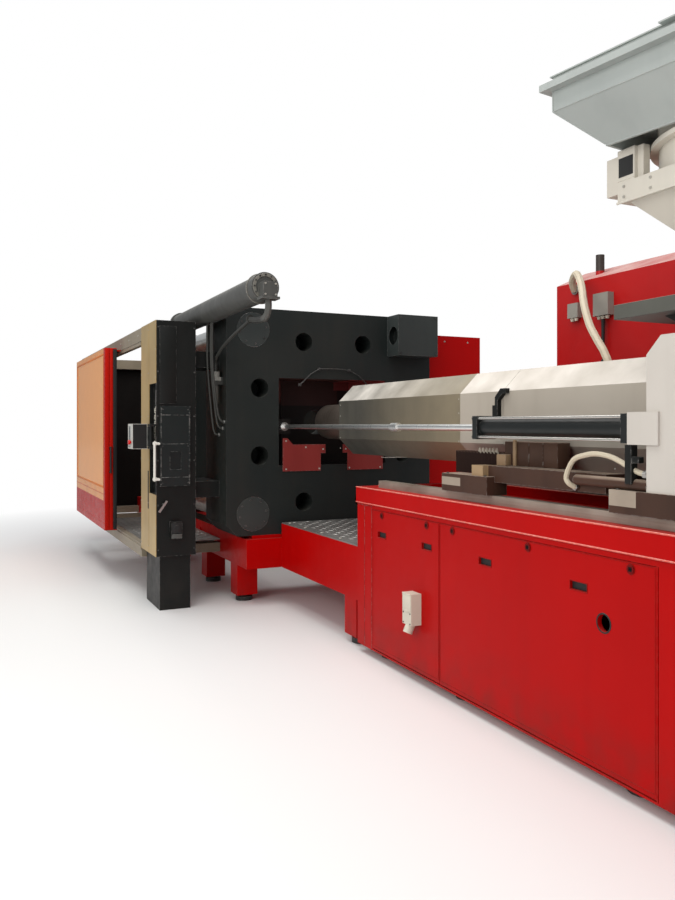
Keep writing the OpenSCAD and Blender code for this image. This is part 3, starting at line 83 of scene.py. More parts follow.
world = bpy.data.worlds.new("surround")
bpy.context.scene.world = world
world.use_nodes = True
sky = world.node_tree
sky.nodes.clear()
sky_blue = (0.93, 0.96, 1, 1)
seen = node(sky, "ShaderNodeBackground", {"Color": (1, 1, 1, 1), "Strength": 1.0})
given = node(sky, "ShaderNodeBackground", {"Color": sky_blue, "Strength": 0.62})
mirrored = node(sky, "ShaderNodeBackground", {"Color": sky_blue, "Strength": 0.36})
ray = node(sky, "ShaderNodeLightPath").outputs
either = node(sky, "ShaderNodeMath", (ray["Is Camera Ray"], ray["Is Transmission Ray"]), operation="MAXIMUM")
gloss = node(sky, "ShaderNodeMixShader", (ray["Is Glossy Ray"], given.outputs[0], mirrored.outputs[0]))
choose = node(sky, "ShaderNodeMixShader", (either.outputs[0], gloss.outputs[0], seen.outputs[0]))
node(sky, "ShaderNodeOutputWorld", {"Surface": choose.outputs[0]})


def lamp(name, place, target, size, power, colour):
    data = bpy.data.lights.new(name, "AREA")
    data.shape = "RECTANGLE"
    data.size, data.size_y = size
    data.energy = power
    data.color = colour
    ob = bpy.data.objects.new(name, data)
    ob.location = place
    ob.rotation_mode = "QUATERNION"
    ob.rotation_quaternion = (Vector(target) - Vector(place)).to_track_quat("-Z", "Y")
    ob.visible_camera = False
    bpy.context.scene.collection.objects.link(ob)


lamp("hall_lamp", at(1, -2, 8.5), at(1, 0, 0), (12, 5), 620, (1, 0.98, 0.95))
lamp("aisle_lamp", at(6, -8, 4.5), at(1, 0, 1.2), (6, 4), 300, (1, 0.97, 0.93))

# Floor: plain pale screed, trowelled flat. It fades to white away from the machine, so that
# no horizon shows.
floor_mesh = bpy.data.meshes.new("floor")
reach = 60
floor_mesh.from_pydata(
    [(-reach, -reach, 0), (reach, -reach, 0), (reach, reach, 0), (-reach, reach, 0)], [], [(0, 1, 2, 3)])
floor = bpy.data.objects.new("floor", floor_mesh)
bpy.context.scene.collection.objects.link(floor)
floor_paint = bpy.data.materials.new("pale_floor")
floor_paint.use_nodes = True
screed = floor_paint.node_tree
floor_shader = screed.nodes["Principled BSDF"]
floor_shader.inputs["Base Color"].default_value = (0.80, 0.80, 0.79, 1)
floor_shader.inputs["Roughness"].default_value = 0.6
floor_place = node(screed, "ShaderNodeTexCoord").outputs["Object"]
floor_scale = node(screed, "ShaderNodeMapping", {"Vector": floor_place, "Scale": (1 / 11, 1 / 7, 1)})
floor_far = node(
    screed, "ShaderNodeVectorMath", (floor_scale.outputs[0],), operation="LENGTH").outputs["Value"]
floor_fade = node(screed, "ShaderNodeMapRange", {"Value": floor_far, "From Min": 0.62, "From Max": 1.0})
floor_ray = node(screed, "ShaderNodeLightPath").outputs["Is Camera Ray"]
floor_seen = node(screed, "ShaderNodeMath", (floor_fade.outputs[0], floor_ray), operation="MULTIPLY")
floor_glow = node(screed, "ShaderNodeEmission", {"Color": (1, 1, 1, 1)})
floor_mix = node(
    screed, "ShaderNodeMixShader", (floor_seen.outputs[0], floor_shader.outputs[0], floor_glow.outputs[0]))
screed.links.new(floor_mix.outputs[0], screed.nodes["Material Output"].inputs["Surface"])
floor_mesh.materials.append(floor_paint)


# Bed of the clamp and its neck: welded plate in red machine enamel, which has an orange
# peel skin, paler dust on what faces up, grime near the floor and bright worn edges.
# The ways that the moving platen slides on are scraped bare.
def new_group(name, kind, inputs, outputs):
    tree = bpy.data.node_groups.new(name, kind)
    for way, sockets in (("INPUT", inputs), ("OUTPUT", outputs)):
        for label, socket, *value in sockets:
            made = tree.interface.new_socket(label, in_out=way, socket_type="NodeSocket" + socket)
            if value:
                made.default_value = value[0]
    given = tree.nodes.new("NodeGroupInput")
    out = tree.nodes.new("NodeGroupOutput")
    return tree, given.outputs, out.inputs


surface_outputs = (("Color", "Color"), ("Roughness", "Float"), ("Height", "Float"))


def wear_group():
    tree, given, out = new_group("enamel_wear", "ShaderNodeTree", (
        ("Color", "Color", (0.5, 0.5, 0.5, 1)), ("Shade", "Color", (0.3, 0.3, 0.3, 1)),
        ("Dust Color", "Color", (0.45, 0.40, 0.34, 1)), ("Bare Color", "Color", (0.5, 0.48, 0.45, 1)),
        ("Mottle", "Float", 0.5), ("Dust", "Float", 0.3), ("Wear", "Float", 0.4),
        ("Grime", "Float", 0.4), ("Roughness", "Float", 0.35), ("Edge", "Float", 0.006)), surface_outputs)
    place = node(tree, "ShaderNodeTexCoord").outputs["Object"]
    normal = node(tree, "ShaderNodeNewGeometry").outputs["Normal"]

    def noise(scale, detail, stretch=None):
        where = place
        if stretch:
            where = node(tree, "ShaderNodeMapping", {"Vector": place, "Scale": stretch}).outputs[0]
        return node(
            tree, "ShaderNodeTexNoise", {"Vector": where, "Scale": scale, "Detail": detail}).outputs["Fac"]

    def spread(value, low, high, to_low=0.0, to_high=1.0):
        return node(tree, "ShaderNodeMapRange", (value, low, high, to_low, to_high)).outputs["Result"]

    def maths(kind, a, b):
        return node(tree, "ShaderNodeMath", (a, b), operation=kind, use_clamp=True).outputs[0]

    def times(a, b):
        return maths("MULTIPLY", a, b)

    def blend(factor, a, b):
        return node(
            tree, "ShaderNodeMix", {"Factor": factor, "A": a, "B": b}, data_type="RGBA").outputs["Result"]

    cloud = spread(noise(1.7, 4), 0.35, 0.7)
    runs = spread(noise(9, 3, (1, 1, 0.06)), 0.48, 0.72)
    mottle = times(maths("ADD", times(cloud, 0.7), times(runs, 0.35)), given["Mottle"])
    colour = blend(mottle, given["Color"], given["Shade"])
    # Upward faces turn paler: dust, and on some finishes painted light on their tops as well.
    up = spread(node(tree, "ShaderNodeSeparateXYZ", (normal,)).outputs["Z"], 0.4, 0.95)
    dust_and_lit_tops_mask = times(times(up, spread(noise(5, 6), 0.3, 0.75, 0.35, 1)), given["Dust"])
    colour = blend(dust_and_lit_tops_mask, colour, given["Dust Color"])
    height_up = node(tree, "ShaderNodeSeparateXYZ", (place,)).outputs["Z"]
    grimy = times(times(spread(height_up, 0.45, 0.0), spread(noise(7, 5), 0.35, 0.7)), given["Grime"])
    colour = blend(grimy, colour, (0.03, 0.025, 0.02, 1))
    bevel = node(tree, "ShaderNodeBevel", {"Radius": given["Edge"]}, samples=4).outputs[0]
    dot = node(tree, "ShaderNodeVectorMath", (bevel, normal), operation="DOT_PRODUCT").outputs["Value"]
    chipped = times(times(spread(dot, 0.985, 0.86), spread(noise(38, 5), 0.44, 0.58)), given["Wear"])
    colour = blend(chipped, colour, given["Bare Color"])
    rough = maths("ADD", given["Roughness"], times(dust_and_lit_tops_mask, 0.4))
    rough = maths("ADD", rough, spread(noise(12, 4), 0.3, 0.8, -0.04, 0.1))
    height = maths("ADD", times(noise(130, 2), 0.25), times(times(noise(3.2, 1), 1.0), 0.5))
    height = maths("SUBTRACT", height, times(chipped, 0.2))
    for name, value in (("Color", colour), ("Roughness", rough), ("Height", height)):
        tree.links.new(value, out[name])
    return tree


enamel_wear = wear_group()


def coated(name, group, values, bump, depth):
    mat = bpy.data.materials.new(name)
    mat.use_nodes = True
    tree = mat.node_tree
    shader = tree.nodes["Principled BSDF"]
    made = node(tree, "ShaderNodeGroup", node_tree=group)
    for key, value in values.items():
        made.inputs[key].default_value = value
    relief = node(
        tree, "ShaderNodeBump", {"Strength": bump, "Distance": depth, "Height": made.outputs["Height"]})
    for key in ("Base Color", "Roughness"):
        tree.links.new(made.outputs[key.split()[-1]], shader.inputs[key])
    tree.links.new(relief.outputs["Normal"], shader.inputs["Normal"])
    return mat, shader


def enamel(name, colour, shade, rough=0.35, mottle=0.5, dust=0.3, wear=0.4, grime=0.4, coat=0.0, bump=0.15,
           dust_and_lit_tops_colour=(0.42, 0.37, 0.32), bare=(0.5, 0.48, 0.45), edge=0.006, gloss=0.3):
    values = {
        "Color": (*colour, 1), "Shade": (*shade, 1), "Dust Color": (*dust_and_lit_tops_colour, 1),
        "Bare Color": (*bare, 1), "Mottle": mottle, "Dust": dust, "Wear": wear, "Grime": grime,
        "Roughness": rough, "Edge": edge}
    mat, shader = coated(name, enamel_wear, values, bump, 0.004)
    shader.inputs["Specular IOR Level"].default_value = gloss
    shader.inputs["Coat Weight"].default_value = coat
    shader.inputs["Coat Roughness"].default_value = 0.12
    return mat


def zone_group():
    tree, given, out = new_group("zone_mask", "ShaderNodeTree", (
        ("Middle", "Vector"), ("Half Size", "Vector"), ("Softness", "Float")), (("Mask", "Float"),))
    place = node(tree, "ShaderNodeTexCoord").outputs["Object"]
    away = node(tree, "ShaderNodeVectorMath", (place, given["Middle"]), operation="SUBTRACT")
    flat = node(tree, "ShaderNodeVectorMath", (away.outputs[0],), operation="ABSOLUTE")
    room = node(tree, "ShaderNodeVectorMath", (given["Half Size"], flat.outputs[0]), operation="SUBTRACT")
    split = node(tree, "ShaderNodeSeparateXYZ", (room.outputs[0],)).outputs
    least = node(tree, "ShaderNodeMath", (split["X"], split["Y"]), operation="MINIMUM")
    least = node(tree, "ShaderNodeMath", (least.outputs[0], split["Z"]), operation="MINIMUM")
    ramp = node(tree, "ShaderNodeMapRange", {"Value": least.outputs[0], "From Max": given["Softness"]})
    tree.links.new(ramp.outputs[0], out["Mask"])
    return tree


zone_mask = zone_group()


def paint_zone(mat, low, high, colour, rough, metallic=0.0, softness=0.0005, strength=1.0):
    tree = mat.node_tree
    shader = tree.nodes["Principled BSDF"]
    size = {"Middle": (low + high) / 2, "Half Size": (high - low) / 2, "Softness": softness}
    mask = node(tree, "ShaderNodeGroup", node_tree=zone_mask)
    for key, value in size.items():
        mask.inputs[key].default_value = value
    factor = mask.outputs[0]
    if strength < 1:
        factor = node(tree, "ShaderNodeMath", (factor, strength), operation="MULTIPLY").outputs[0]
    place = node(tree, "ShaderNodeTexCoord").outputs["Object"]
    speckle = node(tree, "ShaderNodeTexNoise", {"Vector": place, "Scale": 6, "Detail": 5}).outputs["Fac"]
    shades = {"Factor": speckle, "A": (*colour, 1), "B": (*[0.6 * c for c in colour], 1)}
    shade = node(tree, "ShaderNodeMix", shades, data_type="RGBA").outputs["Result"]
    for key, value, kind in (
        ("Base Color", shade, "RGBA"), ("Roughness", rough, "FLOAT"), ("Metallic", metallic, "FLOAT")):
        socket = shader.inputs[key]
        if key == "Metallic" and not metallic and not socket.links:
            continue
        under = socket.links[0].from_socket if socket.links else socket.default_value
        mix = node(tree, "ShaderNodeMix", {"Factor": factor, "A": under, "B": value}, data_type=kind)
        tree.links.new(mix.outputs["Result"], socket)
    return mat


def dress(name, material):
    mesh = nodes[name].data
    mesh.materials.clear()
    mesh.materials.append(material)


red_look = dict(
    colour=(0.43, 0.0012, 0.001), shade=(0.32, 0.001, 0.001), rough=0.34, dust=0.3, wear=0.22,
    dust_and_lit_tops_colour=(0.42, 0.10, 0.08), bare=(0.52, 0.08, 0.06), bump=0.05, gloss=0.08)
red_enamel = enamel("red_enamel", **red_look)
bed_enamel = enamel("bed_enamel", **red_look)
for side in (-1, 1):
    paint_zone(
        bed_enamel, at(-4.75, side * 0.81 - 0.1, 0.6345), at(-0.7, side * 0.81 + 0.1, 0.64),
        (0.42, 0.40, 0.37), 0.3, 1.0)
dress("clamp_bed", bed_enamel)


def box(bm, low, high, rounding=0.003):
    low, high = Vector([min(p) for p in zip(low, high)]), Vector([max(p) for p in zip(low, high)])
    verts = bmesh.ops.create_cube(bm, size=1)["verts"]
    for v in verts:
        v.co = Vector([low[i] + (v.co[i] + 0.5) * (high[i] - low[i]) for i in range(3)])
    if rounding:
        edges = list({e for v in verts for e in v.link_edges})
        bmesh.ops.bevel(
            bm, geom=edges, offset=min(rounding, 0.3 * min(high - low)), segments=2, affect="EDGES",
            profile=0.5)


def turned(bm, start, end, profile, sides=24, closed=False):
    axis = (end - start).normalized()
    across = axis.orthogonal().normalized()
    up = axis.cross(across)
    turns = [2 * math.pi * k / sides for k in range(sides)]
    spokes = [math.cos(t) * across + math.sin(t) * up for t in turns]
    rings = [[bm.verts.new(start + axis * along + radius * s) for s in spokes] for along, radius in profile]
    pairs = list(zip(rings, rings[1:])) + ([(rings[-1], rings[0])] if closed else [])
    for a, b in pairs:
        for k in range(sides):
            bm.faces.new((a[k], a[(k + 1) % sides], b[(k + 1) % sides], b[k]))
    if not closed:
        bm.faces.new(rings[0][::-1])
        bm.faces.new(rings[-1])


def rod(bm, start, end, radius, sides=24, rounding=0.002):
    length = (end - start).length
    c = min(rounding, radius * 0.4, length * 0.3)
    turned(bm, start, end, [(0, radius - c), (c, radius), (length - c, radius), (length, radius - c)], sides)


def collar(bm, start, end, inner, outer, sides=32, rounding=0.002):
    length = (end - start).length
    c = min(rounding, (outer - inner) * 0.4, length * 0.3)
    turned(
        bm, start, end,
        [(0, inner), (0, outer - c), (c, outer), (length - c, outer), (length, outer - c), (length, inner)],
        sides, closed=True)


def tube(bm, points, radius, sides=12):
    points = [Vector(p) for p in points]
    across = (points[1] - points[0]).orthogonal().normalized()
    rings = []
    for i, p in enumerate(points):
        along = (points[min(i + 1, len(points) - 1)] - points[max(i - 1, 0)]).normalized()
        across = (across - across.dot(along) * along).normalized()
        up = along.cross(across)
        turns = [2 * math.pi * k / sides for k in range(sides)]
        rings.append([bm.verts.new(p + radius * (math.cos(t) * across + math.sin(t) * up)) for t in turns])
    for a, b in zip(rings, rings[1:]):
        for k in range(sides):
            bm.faces.new((a[k], a[(k + 1) % sides], b[(k + 1) % sides], b[k]))
    bm.faces.new(rings[0][::-1])
    bm.faces.new(rings[-1])


def prism(bm, outline, low, high):
    ends = [[bm.verts.new(place(a, b)) for a, b in outline] for place in (low, high)]
    for k in range(len(outline)):
        m = (k + 1) % len(outline)
        bm.faces.new((ends[0][k], ends[0][m], ends[1][m], ends[1][k]))
    bm.faces.new(ends[0][::-1])
    bm.faces.new(ends[1])


def piece(name, bm, body, material):
    bmesh.ops.recalc_face_normals(bm, faces=bm.faces)
    mesh = bpy.data.meshes.new(name)
    bm.to_mesh(mesh)
    bm.free()
    mesh.materials.append(material)
    for polygon in mesh.polygons:
        polygon.use_smooth = True
    mesh.set_sharp_from_angle(angle=math.radians(32))
    ob = bpy.data.objects.new(name, mesh)
    bpy.context.scene.collection.objects.link(ob)
    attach(ob, body)
    return ob


# Socket head screws, which hold covers, flanges and plates all over the machine. Each lies
# flat on its face with the hexagon for the key sunk in its head.
def scattered(name, sizes, shape, result, turn=None, smooth=False):
    sockets = [(size, "Float") for size in sizes] + ([] if turn else [("Facing", "Vector")])
    tree, given, out = new_group(name, "GeometryNodeTree", (
        ("Places", "Geometry"), *sockets, ("Material", "Material")), ((result, "Geometry"),))
    angle = turn(tree) if turn else given["Facing"]
    rotation = node(tree, "FunctionNodeEulerToRotation", (angle,)).outputs[0]
    put = node(tree, "GeometryNodeInstanceOnPoints", {
        "Points": given["Places"], "Instance": shape(tree, given), "Rotation": rotation})
    made = node(tree, "GeometryNodeRealizeInstances", (put.outputs["Instances"],)).outputs[0]
    if smooth:
        made = node(tree, "GeometryNodeSetShadeSmooth", (made,)).outputs[0]
    finish = node(tree, "GeometryNodeSetMaterial", {"Geometry": made, "Material": given["Material"]})
    tree.links.new(finish.outputs["Geometry"], out[result])
    return tree


def scaled(tree, value, factor):
    return node(tree, "ShaderNodeMath", (value, factor), operation="MULTIPLY").outputs[0]


def screw_shape(tree, given):
    head = node(tree, "GeometryNodeMeshCylinder", {
        "Vertices": 18, "Radius": given["Radius"], "Depth": given["Height"]}).outputs
    rim = node(tree, "GeometryNodeExtrudeMesh", {
        "Mesh": head["Mesh"], "Selection": head["Top"], "Offset Scale": 0.0}).outputs
    narrow = node(tree, "GeometryNodeScaleElements", {
        "Geometry": rim["Mesh"], "Selection": rim["Top"], "Scale": 0.5}).outputs
    sink = node(
        tree, "GeometryNodeExtrudeMesh",
        {
            "Mesh": narrow["Geometry"], "Selection": rim["Top"],
            "Offset Scale": scaled(tree, given["Height"], -0.6)})
    rise = node(tree, "ShaderNodeCombineXYZ", {"Z": scaled(tree, given["Height"], 0.5)}).outputs[0]
    return node(tree, "GeometryNodeTransform", {
        "Geometry": sink.outputs["Mesh"], "Translation": rise}).outputs["Geometry"]


socket_screws = scattered("socket_screws", ("Radius", "Height"), screw_shape, "Screws")


def grown(name, tree, places, values, body):
    seed = bpy.data.meshes.new(name + "_places")
    seed.from_pydata([tuple(p) for p in places], [], [])
    ob = bpy.data.objects.new(name, seed)
    bpy.context.scene.collection.objects.link(ob)
    modifier = ob.modifiers.new("made", "NODES")
    modifier.node_group = tree
    for item in tree.interface.items_tree:
        if item.item_type == "SOCKET" and item.in_out == "INPUT" and item.name in values:
            modifier[item.identifier] = values[item.name]
    bpy.context.view_layer.update()
    made = bpy.data.meshes.new_from_object(ob.evaluated_get(bpy.context.evaluated_depsgraph_get()))
    ob.modifiers.clear()
    ob.data = made
    made.name = name
    made.set_sharp_from_angle(angle=math.radians(32))
    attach(ob, body)
    return ob


def facing(direction):
    return tuple(Vector(direction).to_track_quat("Z", "Y").to_euler())


screw_black = enamel(
    "screw_black", (0.03, 0.03, 0.03), (0.07, 0.065, 0.06), rough=0.38, dust=0.2, wear=0.5, edge=0.002)
screw_zinc = enamel(
    "screw_zinc", (0.45, 0.43, 0.38), (0.30, 0.28, 0.25), rough=0.35, dust=0.2, wear=0.3, edge=0.002)


def screws(name, places, direction, radius, height, material=screw_zinc, body="frame"):
    values = {"Radius": radius, "Height": height, "Facing": facing(direction), "Material": material}
    return grown(name, socket_screws, places, values, body)


def around(x, y, z, radius, count, start=0.0):
    turns = [start + 2 * math.pi * k / count for k in range(count)]
    return [at(x, y + radius * math.cos(t), z + radius * math.sin(t)) for t in turns]


def spaced(low, high, step):
    count = max(1, round((high - low) / step))
    return [low + (high - low) * k / count for k in range(count + 1)]


neck_seats = [at(x, side * 0.52, 0.7652) for x in spaced(0.16, 1.6, 0.36) for side in (-1, 1)]
screws("tread_screws", neck_seats, (0, 0, 1), 0.014, 0.006)

# Levelling feet: turned steel in black paint, each a round pad under a thinner neck. They
# stand under the bed's legs and the base.
foot_black = enamel("foot_black", (0.022, 0.022, 0.022), (0.05, 0.045, 0.04), rough=0.5, dust=0.5)
dress("levelling_feet", foot_black)


# Step plates between the guards and on the bed's neck: rolled sheet with raised lozenges
# in two directions, worn bright where people tread.
def brushed_group():
    tree, given, out = new_group(
        "rolled_sheet", "ShaderNodeTree",
        (
            ("Color", "Color", (0.5, 0.5, 0.5, 1)), ("Shade", "Color", (0.3, 0.3, 0.3, 1)),
            ("Lines", "Vector", (1, 60, 60)), ("Stain", "Float", 0.5), ("Roughness", "Float", 0.35)),
        surface_outputs)
    place = node(tree, "ShaderNodeTexCoord").outputs["Object"]
    drawn = node(tree, "ShaderNodeVectorMath", (place, given["Lines"]), operation="MULTIPLY").outputs[0]
    lines = node(tree, "ShaderNodeTexNoise", {"Vector": drawn, "Scale": 3, "Detail": 4}).outputs["Fac"]
    cloud = node(tree, "ShaderNodeTexNoise", {"Vector": place, "Scale": 2.3, "Detail": 6}).outputs["Fac"]
    stain = node(tree, "ShaderNodeMapRange", (cloud, 0.38, 0.72)).outputs[0]
    both = node(tree, "ShaderNodeMath", (lines, 0.5, stain), operation="MULTIPLY_ADD").outputs[0]
    amount = node(
        tree, "ShaderNodeMath", (both, given["Stain"]), operation="MULTIPLY", use_clamp=True).outputs[0]
    mixed = node(
        tree, "ShaderNodeMix", {"Factor": amount, "A": given["Color"], "B": given["Shade"]},
        data_type="RGBA")
    rough = node(
        tree, "ShaderNodeMath", (lines, 0.22, given["Roughness"]), operation="MULTIPLY_ADD").outputs[0]
    for name, value in (("Color", mixed.outputs["Result"]), ("Roughness", rough), ("Height", lines)):
        tree.links.new(value, out[name])
    return tree


rolled_sheet = brushed_group()


def sheet_metal(name, colour, shade, lines=(1, 60, 60), stain=0.5, rough=0.3, bump=0.08, metal=1.0):
    values = {"Color": (*colour, 1), "Shade": (*shade, 1), "Lines": lines, "Stain": stain, "Roughness": rough}
    mat, shader = coated(name, rolled_sheet, values, bump, 0.002)
    shader.inputs["Metallic"].default_value = metal
    return mat


def lozenge_shape(tree, given):
    cone = node(tree, "GeometryNodeMeshCone", {
        "Vertices": 6, "Radius Bottom": scaled(tree, given["Length"], 0.5),
        "Radius Top": scaled(tree, given["Length"], 0.3), "Depth": given["Height"]})
    return node(tree, "GeometryNodeTransform", {
        "Geometry": cone.outputs["Mesh"], "Scale": (1, 0.3, 1)}).outputs["Geometry"]


def crossed(tree):
    index = node(tree, "GeometryNodeInputIndex").outputs[0]
    odd = node(tree, "ShaderNodeMath", (index, 2), operation="MODULO").outputs[0]
    swing = node(tree, "ShaderNodeMath", (odd, math.pi / 2, math.pi / 4), operation="MULTIPLY_ADD").outputs[0]
    return node(tree, "ShaderNodeCombineXYZ", {"Z": swing}).outputs[0]


tread_lozenges = scattered("tread_lozenges", ("Length", "Height"), lozenge_shape, "Lozenges", crossed)
step_sheet = sheet_metal("step_sheet", (0.42, 0.41, 0.39), (0.2, 0.19, 0.18), stain=0.6, rough=0.4, metal=0.8)
dress("tread_plates", step_sheet)
lozenge_places = []
pitch = 0.075
for x0, x1, y0, y1, z in (
    (0.08, 1.68, -0.5, 0.5, 0.765), (-2.98, -0.82, -1.6, -0.93, 0.53), (-2.98, -0.82, 0.93, 1.6, 0.53)):
    columns, rows = round((x1 - x0) / pitch), 2 * round((y1 - y0) / 0.15) + 1
    for i in range(columns):
        for j in range(rows):
            lozenge_places.append(at(x0 + pitch * (i + 0.5), y0 + (y1 - y0) * (j + 0.5) / rows, z + 0.0015))
grown(
    "tread_pattern", tread_lozenges, lozenge_places,
    {"Length": 0.048, "Height": 0.004, "Material": step_sheet}, "frame")

# Fixed platen: a thick casting in dark grey machine paint, bored for the mould and cut away
# at the back for the nozzle. Inside the pocket the paint is darkened nearly to black as
# painted shade. Towards the pocket's top it turns brownish red, and a paler pink-red strip
# runs along its far upper edge, lightened there as painted light.
dark_look = dict(
    colour=(0.012, 0.016, 0.0155), shade=(0.021, 0.022, 0.019), rough=0.5, mottle=0.8, dust=0.4, wear=0.35,
    dust_and_lit_tops_colour=(0.10, 0.095, 0.08), bare=(0.14, 0.13, 0.12), bump=0.3, gloss=0.25)
dark_enamel = enamel("dark_enamel", **dark_look)
platen_enamel = enamel("platen_enamel", **dark_look)
# Painted shade: the inside of the pocket, darkened nearly to black.
paint_zone(
    platen_enamel, at(-0.455, -0.59, 1.27), at(-0.004, 0.59, 2.13), (0.012, 0.009, 0.008), 0.5,
    softness=0.004)
# Brownish red towards the top of the pocket.
paint_zone(
    platen_enamel, at(-0.46, -0.59, 1.86), at(-0.004, 0.25, 2.14), (0.16, 0.05, 0.042), 0.5, softness=0.05)
# Pink-red strip at the pocket's far upper edge, paler as painted light.
paint_zone(
    platen_enamel, at(-0.46, 0.2, 2.02), at(-0.004, 0.62, 2.14), (0.36, 0.05, 0.05), 0.5, softness=0.02)
dress("fixed_platen", platen_enamel)
tie_y, tie_low, tie_high = 0.82, 0.85, 2.55
for name, y, z in (("0_0", -tie_y, tie_low), ("0_1", -tie_y, tie_high), ("1_0", tie_y, tie_low)):
    screws("disc_screws_" + name, around(0.0, y, z, 0.128, 8, 0.2), (1, 0, 0), 0.011, 0.005, screw_black)
cable_run = bmesh.new()
cable_route = [
    at(0.006, -0.36, 2.05), at(0.012, -0.32, 2.085), at(0.016, -0.25, 2.155), at(0.018, -0.16, 2.205),
    at(0.018, 0.02, 2.21), at(0.018, 0.16, 2.2), at(0.016, 0.26, 2.15), at(0.012, 0.33, 2.09),
    at(0.006, 0.36, 2.06)]
tube(cable_run, cable_route, 0.005, 10)
for y, z in ((-0.36, 2.05), (-0.16, 2.205), (0.16, 2.2), (0.36, 2.06)):
    box(cable_run, at(0.0, y - 0.014, z - 0.012), at(0.016, y + 0.014, z + 0.012), 0.002)
piece("sensor_cable", cable_run, "frame", screw_black)
links = bmesh.new()
link_route = [
    at(0.012, 0.515, 1.35), at(0.03, 0.54, 1.349), at(0.033, 0.76, 1.346), at(0.03, 0.98, 1.343),
    at(0.004, 1.0, 1.342)]
tube(links, link_route, 0.004, 8)
piece("drain_line", links, "frame", screw_zinc)

# Tie bars: four ground steel bars that nuts hold in the fixed platen. The split nuts close
# on grooves turned into their other ends.
ground_steel = sheet_metal(
    "ground_steel", (0.93, 0.93, 0.91), (0.80, 0.80, 0.78), lines=(60, 1, 1), stain=0.25, rough=0.2,
    bump=0.004)
machined_steel = sheet_metal(
    "machined_steel", (0.5, 0.49, 0.47), (0.3, 0.29, 0.27), lines=(8, 30, 30), stain=0.5, rough=0.3)
dress("tie_bars", ground_steel)

# Covers over the tie bars' ends: round plates let into the platen and one sheet box with
# a round view hole, held by screws through its edge.
cover_grey = enamel(
    "cover_grey", (0.030, 0.036, 0.035), (0.05, 0.055, 0.05), rough=0.4, dust=0.4, wear=0.3,
    dust_and_lit_tops_colour=(0.14, 0.13, 0.12))
dress("tie_bar_covers", cover_grey)
box_edge = bmesh.new()
for y in (0.597, 1.043):
    box(box_edge, at(0.001, y - 0.012, 2.36), at(0.007, y + 0.012, 2.74), 0.002)
piece("cover_flanges", box_edge, "frame", cover_grey)
screws(
    "cover_screws", [at(0.2118, y, z) for y in (0.62, 1.02) for z in (2.375, 2.725)], (1, 0, 0), 0.010,
    0.005, screw_black)

# Traverse cylinders: honed tubes in mid grey paint, with a thicker band at the free end and
# a square port block on its face. Screws ring the end face and hold the block.
grey_enamel = enamel(
    "grey_enamel", (0.065, 0.066, 0.062), (0.11, 0.108, 0.098), rough=0.4, mottle=0.6, dust=0.6,
    dust_and_lit_tops_colour=(0.26, 0.25, 0.22), bump=0.2)
dress("traverse_cylinders", grey_enamel)
end_grey = enamel(
    "end_grey", (0.19, 0.18, 0.155), (0.12, 0.115, 0.1), rough=0.4, dust=0.4, dust_and_lit_tops_colour=(0.3, 0.29, 0.25))
ends = bmesh.new()
traverse_ends = ((-1.2, 2.705), (1.2, 0.695))
for y, z in traverse_ends:
    collar(ends, at(1.3605, y, z), at(1.3665, y, z), 0.078, 0.1, 40, 0.002)
    collar(ends, at(1.243, y, z), at(1.2495, y, z), 0.1035, 0.1165, 40, 0.002)
piece("cylinder_end_rings", ends, "frame", end_grey)
for k, (y, z) in enumerate(traverse_ends):
    screws("cylinder_screws_%d" % k, around(1.3665, y, z, 0.089, 12), (1, 0, 0), 0.0065, 0.005, screw_black)
port_z = 2.705 - 0.033
screws(
    "port_screws", [at(1.47, -1.2 + sy * 0.04, port_z + sz * 0.04) for sy in (-1, 1) for sz in (-1, 1)],
    (1, 0, 0), 0.007, 0.005)

# Gate frames: folded sheet beams and posts in beige machine paint. The gates hang from a
# rolled rail along the top and slide along a lower one.
beige_enamel = enamel("beige_enamel", (0.27, 0.225, 0.16), (0.17, 0.14, 0.10), rough=0.42, dust=0.3)
dress("gate_frame", beige_enamel)
for side, name in ((-1, "near"), (1, "far")):
    screws(
        "rail_screws_" + name, [at(x, side * 1.68, 2.545) for x in spaced(-4.7, -0.95, 0.47)], (0, side, 0),
        0.009, 0.005)

# Operator's column: a folded sheet housing in black paint on a narrower foot, tied to the
# platen by two brackets. Screws run down both edges of its side.
black_enamel = enamel(
    "black_enamel", (0.0065, 0.0075, 0.007), (0.013, 0.0125, 0.0115), rough=0.42, dust=0.5,
    dust_and_lit_tops_colour=(0.07, 0.065, 0.06), bump=0.12, gloss=0.22)
dress("operator_column", black_enamel)
column_bits = bmesh.new()
box(column_bits, at(-0.1499, -1.6505, 1.86), at(-0.1445, -1.5, 2.56), 0.002)
piece("column_seams", column_bits, "frame", black_enamel)
screws(
    "column_screws", [at(-0.15, y, z) for y in (-1.665, -1.335) for z in spaced(0.55, 2.55, 0.4)],
    (1, 0, 0), 0.007, 0.004, screw_black)

# Facing of the column: brushed sheet with a brownish gold tint, screwed on along its edges.
# A thin black plate at the seam below the panel is painted shade, the seam's shadow.
tan_sheet = sheet_metal(
    "tan_sheet", (0.56, 0.40, 0.17), (0.36, 0.25, 0.11), lines=(60, 60, 1), stain=0.6, rough=0.3,
    metal=0.45)
paint_zone(tan_sheet, at(-0.8, -1.69, 0.2), at(-0.1, -1.675, 1.35), (0.16, 0.105, 0.055), 0.35, softness=0.7)
dress("column_facing", tan_sheet)
black_moulding = enamel(
    "black_moulding", (0.014, 0.014, 0.014), (0.03, 0.03, 0.03), rough=0.5, wear=0.1, dust=0.3, edge=0.002)
